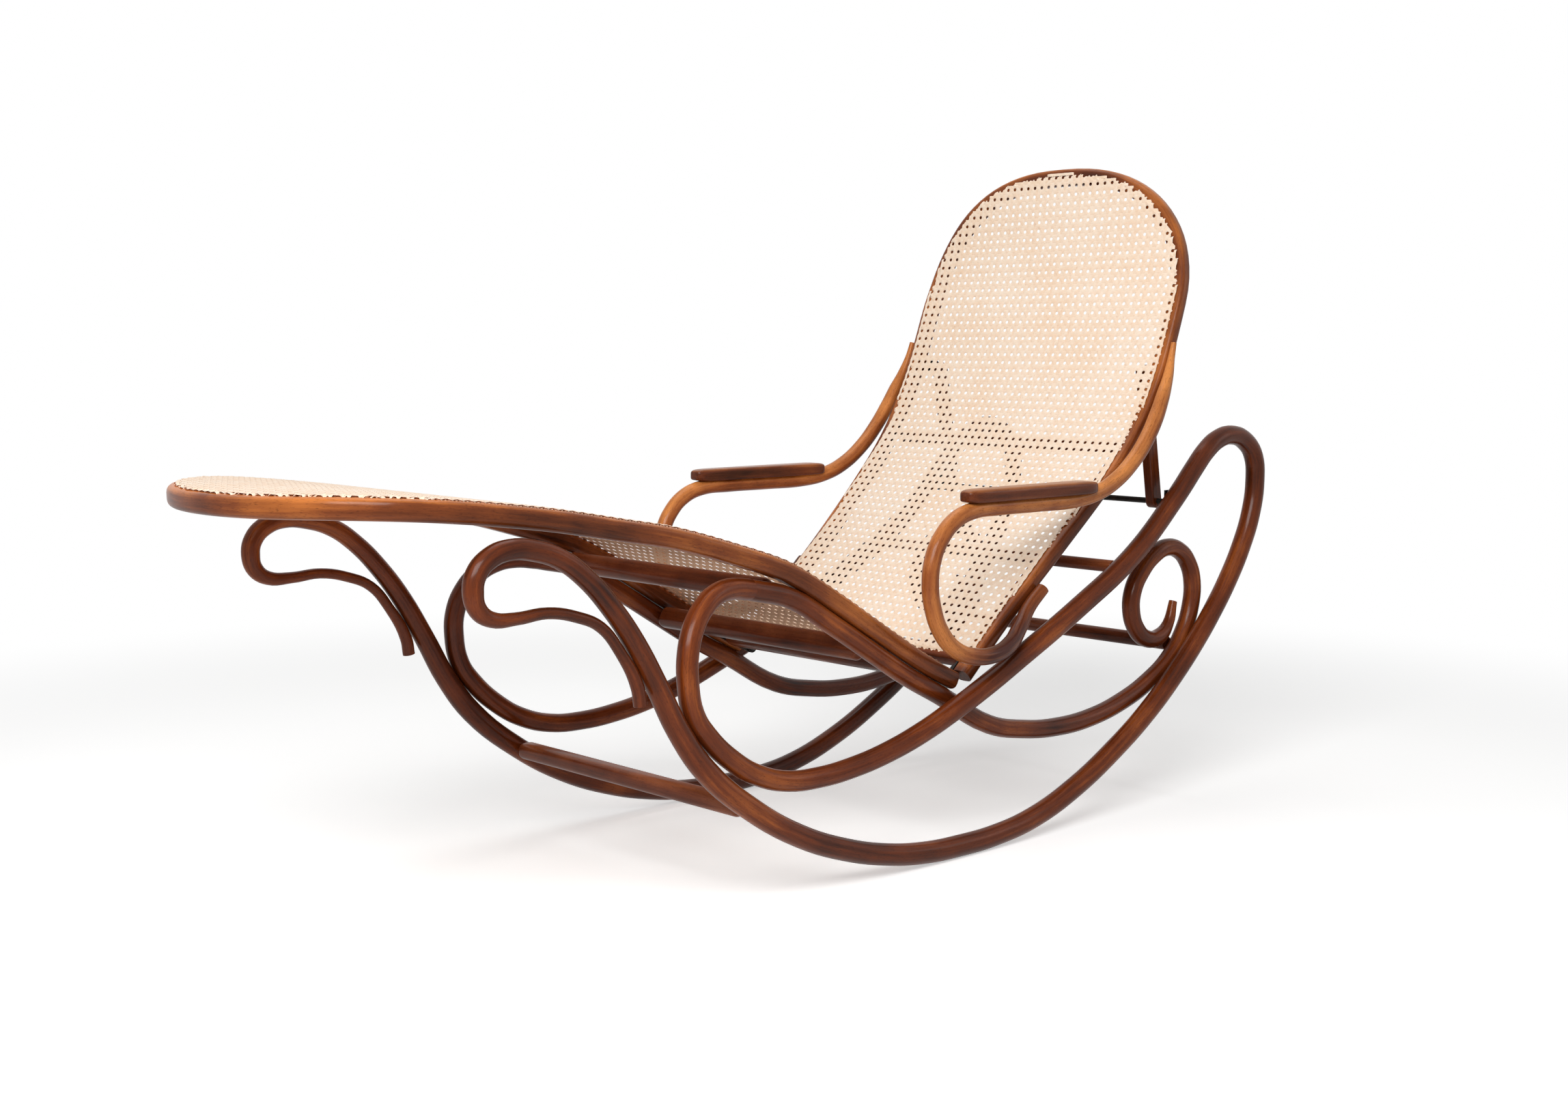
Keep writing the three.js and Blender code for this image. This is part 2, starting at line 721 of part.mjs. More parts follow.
// The back's strap is cranked: its eye stands one strap thickness inside the plate that is screwed to the rail.
function crankedStrap(direction, length, plateFrom, eyeFrom) {
  const plate = strap(direction, length, plateFrom);
  const eyeLength = strapWidth * eyeLengthShare;
  const eye = strap(direction, eyeLength, eyeFrom);
  const low = Math.min(plateFrom, eyeFrom);
  const angle = Math.atan2(direction.z, direction.x);
  const clear = strapWidth * strapClearShare + runningGap;
  const trim = new THREE.CylinderGeometry(clear, clear, strapThickness * 3, roundSides);
  trim.translate(hinge.x, plateFrom + strapThickness / 2, hinge.z);
  const kept = cutAway(plate, trim);
  const stepLength = eyeLength - clear - strapWidth / 2;
  const step = new THREE.BoxGeometry(stepLength, strapThickness + seatGap, strapWidth * stepShare);
  step.rotateY(-angle);
  const middle = clear + runningGap + stepLength / 2;
  const out = direction.clone().multiplyScalar(middle);
  step.translate(hinge.x + out.x, low + strapThickness + seatGap / 2, hinge.z + out.z);
  return joined(kept, eye, step);
}

function hingeSet(sign, side) {
  const face = seatPlane - railWidth / 2 - seatGap;
  const seatDirection = seatPath.getPointAt(seatStrapLength / seatPanel.length).sub(hinge).normalize();
  const backDirection = backPath.getPointAt(backStrapLength / backPanel.length).sub(hinge).normalize();
  const seatFrom = sign > 0 ? face - strapThickness : -face;
  const eyeInner = face - strapThickness - seatGap - strapThickness;
  const eyeFrom = sign > 0 ? eyeInner : -eyeInner - strapThickness;
  const seatStrap = strap(seatDirection, seatStrapLength, seatFrom);
  const backStrap = crankedStrap(backDirection, backStrapLength, seatFrom, eyeFrom);
  const pinLength = strapThickness * 2 + seatGap * 3;
  const profile = [
    new THREE.Vector2(0, -pinLength / 2 - hingeHeadThickness),
    new THREE.Vector2(hingePinHead, -pinLength / 2 - hingeHeadThickness),
    new THREE.Vector2(hingePinHead, -pinLength / 2),
    new THREE.Vector2(hingePinRadius, -pinLength / 2),
    new THREE.Vector2(hingePinRadius, pinLength / 2),
    new THREE.Vector2(hingePinHead, pinLength / 2),
    new THREE.Vector2(hingePinHead, pinLength / 2 + hingeHeadThickness),
    new THREE.Vector2(0, pinLength / 2 + hingeHeadThickness)
  ];
  const pin = new THREE.LatheGeometry(profile, roundSides);
  pin.translate(hinge.x, sign * (face - strapThickness - seatGap / 2), hinge.z);
  return [
    named(`hinge_seat_strap_${side}`, seatStrap, iron),
    named(`hinge_back_strap_${side}`, backStrap, iron),
    named(`hinge_pin_${side}`, closedLathe(pin), iron)
  ];
}

function closedLathe(geometry) {
  const bare = geometry.clone();
  bare.deleteAttribute("normal");
  bare.deleteAttribute("uv");
  return fromManifold(toManifold(bare));
}

// Folding prop

function propPlaces() {
  const pivot = panelPoint(backPanel, propPivotShare, 0, -propPivotBehind);
  const { path, ends } = sideRod(1);
  const share = (ends.rearLoop + 1 + propFootIndexShare) / (path.points.length - 1);
  const foot = path.getPoint(share).setY(0);
  foot.z -= propFootDrop;
  return { pivot, foot, diagonalCentre: path.getPoint(share).setY(0) };
}

// A leg with an eye round the pivot pin at its top and a bored foot that holds the iron rod.
function propLeg(pivot, foot, from) {
  const down = foot.clone().sub(pivot);
  const length = down.length();
  const angle = Math.atan2(down.z, down.x);
  const top = propLegWidth / 2;
  const low = propLegWidth * propFootShare;
  const outline = new THREE.Shape();
  outline.absarc(0, 0, top, Math.PI / 2, (Math.PI * 3) / 2, false);
  outline.lineTo(length, -low);
  outline.absarc(length, 0, low, -Math.PI / 2, Math.PI / 2, false);
  outline.lineTo(0, top);
  for (const [place, radius] of [[0, propPinRadius], [length, propFootRadius]]) {
    const hole = new THREE.Path();
    hole.absarc(place, 0, radius + seatGap, 0, Math.PI * 2, true);
    outline.holes.push(hole);
  }
  const leg = flatPlate(outline, propLegThickness);
  leg.rotateZ(angle);
  leg.rotateX(Math.PI / 2);
  leg.translate(pivot.x, from + propLegThickness, pivot.z);
  return leg;
}

// An angle iron screwed to the rear face of the back rail. Its ear stands back and holds the pivot pin.
function propLug(pivot, sign, inner) {
  const slope = backPanel.path.getTangentAt(propPivotShare);
  const behind = panelNormal(backPanel, propPivotShare).negate();
  const face = backRailDepth / 2;
  const outline = new THREE.Shape();
  outline.moveTo(sign * inner, face);
  outline.lineTo(sign * (inner + propLugReach), face);
  outline.lineTo(sign * (inner + propLugReach), face + propLugThickness);
  outline.lineTo(sign * (inner + propLugThickness), face + propLugThickness);
  outline.lineTo(sign * (inner + propLugThickness), propPivotBehind + propLugWidth / 2);
  outline.lineTo(sign * inner, propPivotBehind + propLugWidth / 2);
  const angleIron = new THREE.ExtrudeGeometry(outline, { depth: propLugWidth, bevelEnabled: false });
  angleIron.translate(0, -propPivotBehind, -propLugWidth / 2);
  angleIron.applyMatrix4(new THREE.Matrix4().makeBasis(across, behind, slope.clone().negate()));
  angleIron.translate(pivot.x, 0, pivot.z);
  const holeRadius = propPinRadius + seatGap;
  const hole = new THREE.CylinderGeometry(holeRadius, holeRadius, propLugThickness * 3, roundSides);
  hole.translate(pivot.x, sign * (inner + propLugThickness / 2), pivot.z);
  return cutAway(angleIron, hole);
}

function prop() {
  const { pivot, foot, diagonalCentre } = propPlaces();
  const clearHalf = outerPlane - rodRadius;
  const legOuter = clearHalf - ledgeThickness - ledgeReach - propInset / 2;
  const legInner = legOuter - propLegThickness;
  const lugInner = legOuter + seatGap;
  const lugOuter = lugInner + propLugThickness;
  const pieces = [];
  for (const [sign, side] of [[-1, "left"], [1, "right"]]) {
    const legFrom = sign > 0 ? legInner : -legOuter;
    const pinHalf = (lugOuter - legInner) / 2 + runningGap;
    const pinCentre = new THREE.Vector3(pivot.x, (sign * (lugOuter + legInner)) / 2, pivot.z);
    const pinSide = new THREE.Vector3(1, 0, 0);
    const pin = barAcross(pinCentre, pinHalf, roundSection(propPinRadius, rodSides), pinSide);
    pieces.push(named(`prop_leg_${side}`, propLeg(pivot, foot, legFrom), beech));
    pieces.push(named(`prop_lug_${side}`, propLug(pivot, sign, lugInner), iron));
    pieces.push(named(`prop_pin_${side}`, pin, iron));
    pieces.push(named(`prop_ledge_${side}`, propLedge(foot, diagonalCentre, sign), iron));
  }
  const rodHalf = clearHalf - ledgeThickness - seatGap - runningGap;
  const rodSection = roundSection(propFootRadius, rodSides);
  pieces.push(named("prop_foot_rod", barAcross(foot, rodHalf, rodSection, new THREE.Vector3(1, 0, 0)), iron));
  return pieces;
}

// An angle iron screwed to the inner face of the diagonal. The end of the foot rod stands on its lower leaf.
function propLedge(foot, diagonalCentre, sign) {
  const outerFace = outerPlane - rodRadius - seatGap;
  const inner = outerFace - ledgeThickness;
  const leaf = foot.z - propFootRadius - seatGap;
  const bottom = leaf - ledgeThickness;
  const top = diagonalCentre.z + rodRadius / 2;
  const outline = new THREE.Shape();
  outline.moveTo(sign * outerFace, top);
  outline.lineTo(sign * outerFace, bottom);
  outline.lineTo(sign * (inner - ledgeReach), bottom);
  outline.lineTo(sign * (inner - ledgeReach), leaf);
  outline.lineTo(sign * inner, leaf);
  outline.lineTo(sign * inner, top);
  const ledge = new THREE.ExtrudeGeometry(outline, { depth: ledgeLength, bevelEnabled: false });
  ledge.rotateX(Math.PI / 2);
  ledge.rotateZ(Math.PI / 2);
  ledge.translate(foot.x - ledgeLength / 2, 0, 0);
  return ledge;
}

const chair = new THREE.Group();
for (const [sign, side] of [[-1, "left"], [1, "right"]]) {
  chair.add(...sideFrame(sign, side), ...hingeSet(sign, side), ...arm(sign, side));
}
chair.add(...crossMembers(), ...seat(), ...back(), ...prop());

// The origin lies on the floor under the middle of the chair.
const box = new THREE.Box3().setFromObject(chair);
const middle = box.getCenter(new THREE.Vector3());
chair.position.set(-middle.x, -middle.y, -box.min.z);
chair.updateMatrixWorld(true);

export default chair;
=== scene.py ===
import bpy
import bmesh
import json
import numpy as np
from math import atan2, cos, hypot, pi, radians, sin, tau
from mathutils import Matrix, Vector

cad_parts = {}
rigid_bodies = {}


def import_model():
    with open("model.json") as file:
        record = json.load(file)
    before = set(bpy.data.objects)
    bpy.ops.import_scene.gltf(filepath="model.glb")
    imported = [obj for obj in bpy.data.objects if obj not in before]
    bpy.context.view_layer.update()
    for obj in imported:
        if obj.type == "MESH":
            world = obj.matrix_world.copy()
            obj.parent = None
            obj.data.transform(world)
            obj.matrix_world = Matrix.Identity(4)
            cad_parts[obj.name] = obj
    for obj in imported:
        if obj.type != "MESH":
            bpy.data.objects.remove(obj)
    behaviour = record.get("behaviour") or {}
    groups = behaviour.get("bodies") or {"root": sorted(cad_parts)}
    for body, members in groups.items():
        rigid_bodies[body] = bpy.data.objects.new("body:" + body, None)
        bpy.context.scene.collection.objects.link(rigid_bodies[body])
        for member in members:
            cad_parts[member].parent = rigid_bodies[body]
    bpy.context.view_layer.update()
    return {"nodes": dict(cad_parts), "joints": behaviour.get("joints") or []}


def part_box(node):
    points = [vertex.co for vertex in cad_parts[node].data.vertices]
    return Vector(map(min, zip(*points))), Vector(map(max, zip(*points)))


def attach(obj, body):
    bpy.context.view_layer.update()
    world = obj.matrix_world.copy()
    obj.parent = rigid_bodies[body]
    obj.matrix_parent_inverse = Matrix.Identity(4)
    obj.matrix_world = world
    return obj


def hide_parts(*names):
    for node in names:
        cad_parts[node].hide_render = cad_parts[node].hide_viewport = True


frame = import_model()
bpy.ops.object.select_all(action="DESELECT")

# The camera stands a little over seat height, ahead of the chair's foot on the sitter's left side. Its lens
# gives the photograph's perspective.
EYE = (-1.8428, -2.0353, 0.7249)
LOOKING_DOWN = radians(6.27)
LOOKING_ROUND = radians(42.78)
SENSOR_WIDTH = 36
LENS = 43.9
bpy.ops.object.camera_add(location=EYE, rotation=(pi / 2 - LOOKING_DOWN, 0, -LOOKING_ROUND))
camera = bpy.context.object
camera.name = "camera"
camera.data.sensor_width = SENSOR_WIDTH
camera.data.lens = LENS
bpy.context.scene.camera = camera
bpy.context.scene.view_settings.view_transform = "Standard"

# The studio: a pale paper floor, and white paper all round that the lacquer mirrors. Three soft lamps light
# the chair, the brightest from above its foot on the camera's side.
MM = 0.001
FLOOR_DROP = 1.2 * MM
PAPER_WHITE = "#F7F7F6"
PAPER_HALF = 6.0
PAPER_CLEAR = (1.3, 2.6)
PAPER_LIFT = 0.5
ROOM_LIGHT = 0.1


def linear(colour):
    """A hex colour as the linear colour that a shader socket takes."""
    parts = [int(colour[at:at + 2], 16) / 255 for at in (1, 3, 5)]
    return [part / 12.92 if part <= 0.04045 else ((part + 0.055) / 1.055) ** 2.4 for part in parts] + [1]


def add_node(tree, kind, inputs=None, **settings):
    """One shader node with its settings, its values and its links."""
    made = tree.nodes.new(kind)
    for name, value in settings.items():
        setattr(made, name, value)
    for socket, value in (inputs or {}).items():
        if isinstance(value, bpy.types.NodeSocket):
            tree.links.new(value, made.inputs[socket])
        else:
            made.inputs[socket].default_value = value
    return made


def new_material(name):
    """An empty node material and its tree."""
    material = bpy.data.materials.new(name)
    material.use_nodes = True
    material.node_tree.nodes.clear()
    return material, material.node_tree


def paper_seen(tree):
    """One where the camera, a mirror or clear glass sees the paper, and nought where light falls from it."""
    rays = add_node(tree, "ShaderNodeLightPath").outputs
    seen = add_node(tree, "ShaderNodeMath", {
        0: rays["Is Camera Ray"], 1: rays["Is Glossy Ray"]}, operation="MAXIMUM").outputs[0]
    return add_node(tree, "ShaderNodeMath", {
        0: seen, 1: rays["Is Transmission Ray"]}, operation="MAXIMUM").outputs[0]


def white_surroundings():
    world = bpy.data.worlds.new("white_paper_surroundings")
    bpy.context.scene.world = world
    world.use_nodes = True
    tree = world.node_tree
    tree.nodes.clear()
    white = linear("#FFFFFF")
    around = add_node(tree, "ShaderNodeBackground", {"Color": white, "Strength": ROOM_LIGHT})
    paper = add_node(tree, "ShaderNodeBackground", {"Color": white, "Strength": 1})
    mixed = add_node(tree, "ShaderNodeMixShader", {
        0: paper_seen(tree), 1: around.outputs[0], 2: paper.outputs[0]})
    add_node(tree, "ShaderNodeOutputWorld", {"Surface": mixed.outputs[0]})


def matt_paper():
    """Matt white paper: it keeps the chair's shadow near the middle and clears to plain white further out."""
    material, tree = new_material("matt_white_paper")
    place = add_node(tree, "ShaderNodeTexCoord")
    away = add_node(tree, "ShaderNodeVectorMath", {0: place.outputs["Object"]}, operation="LENGTH")
    clear = add_node(tree, "ShaderNodeMapRange", {
        "Value": away.outputs["Value"], "From Min": PAPER_CLEAR[0], "From Max": PAPER_CLEAR[1]},
        interpolation_type="SMOOTHSTEP")
    seen = add_node(tree, "ShaderNodeMath", {0: clear.outputs[0], 1: paper_seen(tree)}, operation="MULTIPLY")
    lift = add_node(tree, "ShaderNodeMath", {0: paper_seen(tree), 1: PAPER_LIFT}, operation="MULTIPLY")
    matt = add_node(tree, "ShaderNodeBsdfDiffuse", {"Color": linear(PAPER_WHITE)})
    lifted = add_node(tree, "ShaderNodeEmission", {"Strength": lift.outputs[0]})
    lit = add_node(tree, "ShaderNodeAddShader", {0: matt.outputs[0], 1: lifted.outputs[0]})
    far = add_node(tree, "ShaderNodeEmission", {"Strength": 1})
    mixed = add_node(tree, "ShaderNodeMixShader", {0: seen.outputs[0], 1: lit.outputs[0], 2: far.outputs[0]})
    add_node(tree, "ShaderNodeOutputMaterial", {"Surface": mixed.outputs[0]})
    return material


def soft_lamp(name, place, aim, size, power):
    bpy.ops.object.light_add(type="AREA", location=place)
    lamp = bpy.context.object
    lamp.name = name
    lamp.rotation_euler = (Vector(aim) - Vector(place)).to_track_quat("-Z", "Y").to_euler()
    lamp.data.shape = "RECTANGLE"
    lamp.data.size, lamp.data.size_y = size
    lamp.data.energy = power


white_surroundings()
bpy.ops.mesh.primitive_plane_add(size=PAPER_HALF * 2, location=(0, 0, -FLOOR_DROP))
paper_floor = bpy.context.object
paper_floor.name = "paper_floor"
paper_floor.data.materials.append(matt_paper())
soft_lamp("key_lamp", place=(-2.1, -1.6, 2.2), aim=(0, 0, 0.4), size=(1.9, 1.4), power=85)
soft_lamp("fill_lamp", place=(2.6, -2.2, 1.7), aim=(0.2, 0, 0.5), size=(0.8, 1.2), power=4)
soft_lamp("top_lamp", place=(0.2, 0.6, 3.0), aim=(0.1, 0, 0.3), size=(1.6, 1.6), power=18)

# The seat and the back are two panels. Each is a beech rail steamed and bent into a hoop. A side view of its
# sweep gives every place on it: a length along it, a distance across it and a lift off the rail's middle.
JOINT_PLACES = {joint["name"]: joint["pos_m"] for joint in frame["joints"]}
HINGE = JOINT_PLACES["back_raise"]
SIDE_PLANE = 0.259
ROD_RADIUS = 15.5 * MM
RAIL_WIDTH = 28 * MM
RUNNING_GAP = 1 * MM
SEAT_PLANE = SIDE_PLANE - ROD_RADIUS - RUNNING_GAP - RAIL_WIDTH / 2
SEAT_SWEEP = [
    (0, 0), (0.071, 0.119), (0.167, 0.309), (0.23, 0.437), (0.289, 0.55), (0.33, 0.618), (0.41, 0.706),
    (0.509, 0.799), (0.59, 0.85), (0.7, 0.916), (0.854, 0.981), (0.94, 0.996), (1, 0.993)]
BACK_SWEEP = [
    (0, 0), (0.201, 0.12), (0.388, 0.228), (0.569, 0.338), (0.67, 0.406), (0.741, 0.466), (0.794, 0.524),
    (0.84, 0.586), (0.878, 0.647), (0.913, 0.71), (0.943, 0.763), (0.964, 0.814), (0.979, 0.862),
    (0.992, 0.934), (1, 1)]
SEAT_SIZE = (1.021, 0.304)
BACK_SIZE = (0.506, 0.752)
FLARE_START = 82 * MM
FLARE_END_SHARE = 0.7


def smooth_line(points, steps=16):
    """A smooth line through the points, eased by the root of the distance between them."""
    knots = np.array(points, float)
    knots = np.vstack([2 * knots[0] - knots[1], knots, 2 * knots[-1] - knots[-2]])
    shares = np.arange(steps)[:, None] / steps
    spans = []
    for at in range(1, len(knots) - 2):
        before, start, end, after = knots[at - 1:at + 3]
        sides = (start - before, end - start, after - end)
        ease = [max(np.linalg.norm(side) ** 0.5, 1e-6) for side in sides]
        leave = (start - before) / ease[0] - (end - before) / (ease[0] + ease[1]) + (end - start) / ease[1]
        reach = (end - start) / ease[1] - (after - start) / (ease[1] + ease[2]) + (after - end) / ease[2]
        leave, reach = leave * ease[1], reach * ease[1]
        spans.append(start + leave * shares + (3 * (end - start) - 2 * leave - reach) * shares ** 2
                     + (2 * (start - end) + leave + reach) * shares ** 3)
    return np.vstack([*spans, knots[-2]])


def lengths_along(line):
    return np.concatenate([[0], np.cumsum(np.linalg.norm(np.diff(line, axis=0), axis=1))])


def unit(vectors):
    return vectors / np.linalg.norm(vectors, axis=-1, keepdims=True)


def smoothstep(value, low, high):
    share = np.clip((value - low) / (high - low), 0, 1)
    return share * share * (3 - 2 * share)


class Panel:
    """The sweep of the seat or the back, seen from the side, and the width and end of its hoop."""

    def __init__(self, sweep, size, towards, depth, end_length, end_share, flare):
        points = [(HINGE[0] + towards * along * size[0], 0, HINGE[2] + up * size[1]) for along, up in sweep]
        self.line = smooth_line(points)
        self.marks = lengths_along(self.line)
        self.length = self.marks[-1]
        self.slopes = unit(np.gradient(self.line, axis=0))
        self.towards = towards
        self.depth = depth
        self.end_length = end_length
        self.end_share = end_share
        self.flare = flare

    def between(self, along, values):
        """The values that were worked out at the marks, read off at places between them."""
        return np.stack([np.interp(along, self.marks, values[:, axis]) for axis in range(3)], axis=-1)

    def slope(self, along):
        return unit(self.between(along, self.slopes))

    def normal(self, along):
        slope = self.slope(along)
        return np.stack([-slope[..., 2], slope[..., 1], slope[..., 0]], axis=-1) * self.towards

    def place(self, along, across, lift):
        """Where a place on the panel is in the chair. Past its end the panel runs on straight."""
        along = np.asarray(along, float)
        on_line = self.between(along, self.line)
        past = np.maximum(along - self.length, 0)[..., None] * self.slope(along)
        sideways = np.zeros_like(on_line)
        sideways[..., 1] = across
        return on_line + past + sideways + self.normal(along) * np.asarray(lift)[..., None]

    def half_width(self, along):
        share = np.asarray(along) / self.length
        return SEAT_PLANE + self.flare * smoothstep(share, FLARE_START / self.length, FLARE_END_SHARE)

    def edge(self, first, offset, straight_steps=28, round_steps=22):
        """Places up one side of the hoop and round to the middle of its free end."""
        straight_end = self.length - self.end_length
        straight = np.unique(np.maximum(first, straight_end * np.arange(straight_steps) / straight_steps))
        angles = np.arange(round_steps + 1) / round_steps * pi / 2
        rounded = straight_end + (self.end_length + offset) * np.sin(angles) ** self.end_share
        along = np.concatenate([straight, rounded])
        half = self.half_width(np.minimum(along, self.length)) + offset
        half[len(straight):] *= np.abs(np.cos(angles)) ** self.end_share
        half[-1] = 0
        return along, half


seat_panel = Panel(SEAT_SWEEP, SEAT_SIZE, towards=-1, depth=26 * MM, end_length=0.175, end_share=1, flare=0)
back_panel = Panel(BACK_SWEEP, BACK_SIZE, towards=1, depth=23 * MM, end_length=0.24, end_share=0.82,
                   flare=28.5 * MM)

# The hoops themselves: steam-bent beech, planed to a soft-edged rectangle, stained a warm red-brown and
# lacquered. Both ends of each stop short of the hinge pins.
HINGE_CLEAR = 14 * MM
RAIL_SIDES = 28
RAIL_SQUARENESS = 0.62
SHARP_ANGLE = radians(38)
GRAIN_SHIFT = 0.37
STREAK_PITCH = (125 * MM, 100 * MM / 15)
FLECK_PITCH = (100 * MM / 17, 10 * MM / 9)
PATCH_PITCH = 182 * MM
RUBBED_PITCH = 59 * MM
STREAK_SHARE = 0.55
# How much lighter the upper faces are painted: partly wear, partly painted light.
WEAR_AND_TOP_LIGHT_SHARE = 0.7
MIDDLE_TONE = 0.205


def loft(name, rings):
    """A skin over rings of equally many points, with flat ends, as a new piece."""
    rings = np.asarray(rings, float)
    count, sides = rings.shape[:2]
    at = np.arange(count * sides).reshape(count, sides)
    upper, lower = at[:-1], at[1:]
    walls = np.stack([upper, lower, np.roll(lower, -1, 1), np.roll(upper, -1, 1)], axis=-1).reshape(-1, 4)
    faces = walls.tolist() + [at[0].tolist(), at[-1][::-1].tolist()]
    mesh = bpy.data.meshes.new(name)
    mesh.from_pydata(rings.reshape(-1, 3).tolist(), [], faces)
    piece = bpy.data.objects.new(name, mesh)
    bpy.context.scene.collection.objects.link(piece)
    return piece


def select_only(piece):
    bpy.ops.object.select_all(action="DESELECT")
    piece.select_set(True)
    bpy.context.view_layer.objects.active = piece


def facing_out(piece):
    """Turns every face of a closed piece outwards and shades it smooth up to its sharp edges."""
    cage = bmesh.new()
    cage.from_mesh(piece.data)
    bmesh.ops.remove_doubles(cage, verts=cage.verts, dist=1e-6)
    bmesh.ops.recalc_face_normals(cage, faces=cage.faces)
    cage.to_mesh(piece.data)
    cage.free()
    select_only(piece)
    bpy.ops.object.shade_smooth_by_angle(angle=SHARP_ANGLE)


def points_of(piece):
    return np.array([point.co for point in piece.data.vertices])


def note_on_points(mesh, name, values):
    """Keeps a number or a vector at each point of a mesh, where its material reads it."""
    kind, field = ("FLOAT_VECTOR", "vector") if np.ndim(values) == 2 else ("FLOAT", "value")
    mesh.attributes.new(name, kind, "POINT").data.foreach_set(field, np.ravel(values))


def grain_start():
    """Each piece is cut from another place in the wood."""
    return len(bpy.data.objects) * GRAIN_SHIFT


def mark_grain(piece, centres, ring_of_point, sides):
    """Gives each point its run along the wood and its place in the section, which the grain follows."""
    points = points_of(piece)
    run = lengths_along(centres)[ring_of_point] + grain_start()
    out = points - centres[ring_of_point]
    side = sides[ring_of_point] if np.ndim(sides) == 2 else np.broadcast_to(sides, points.shape)
    slopes = unit(np.gradient(centres, axis=0))[ring_of_point]
    up = np.cross(slopes, side)
    note_on_points(piece.data, "grain", np.stack([run, (out * side).sum(1), (out * up).sum(1)], axis=1))


def facing_up(piece):
    return np.clip([point.normal.z for point in piece.data.vertices], 0, 1)


def mark_wear_and_top_light(piece):
    """Notes how far each point faces up. The material lightens the stain there in patches: partly wear from
    hands, sleeves and daylight, partly painted light on the upper faces.
    """
    note_on_points(piece.data, "wear_and_painted_light", facing_up(piece) ** 1.5)


def squared(wave, squareness):
    """A cosine or sine filled out towards a square: at one it stays round, and at nought it is square."""
    return np.sign(wave) * np.abs(wave) ** squareness


def ring_angles(sides):
    return (np.arange(sides) + 0.5) / sides * tau


def hoop(name, panel):
    along, half = panel.edge(HINGE_CLEAR, 0)
    along = np.concatenate([along, along[-2::-1]])
    across = np.concatenate([-half, half[-2::-1]])
    centres = panel.place(along, across, 0)
    slopes = unit(np.vstack([centres[1] - centres[0], centres[2:] - centres[:-2], centres[-1] - centres[-2]]))
    sides = unit(np.cross(panel.normal(along), slopes))
    ups = unit(np.cross(slopes, sides))
    sides = np.cross(ups, slopes)
    angles = ring_angles(RAIL_SIDES)
    out = squared(np.cos(angles), RAIL_SQUARENESS) * RAIL_WIDTH / 2
    high = squared(np.sin(angles), RAIL_SQUARENESS) * panel.depth / 2
    rings = centres[:, None] + out[None, :, None] * sides[:, None] + high[None, :, None] * ups[:, None]
    rail = loft(name, rings)
    mark_grain(rail, centres, np.repeat(np.arange(len(centres)), RAIL_SIDES), sides)
    facing_out(rail)
    mark_wear_and_top_light(rail)
    return rail


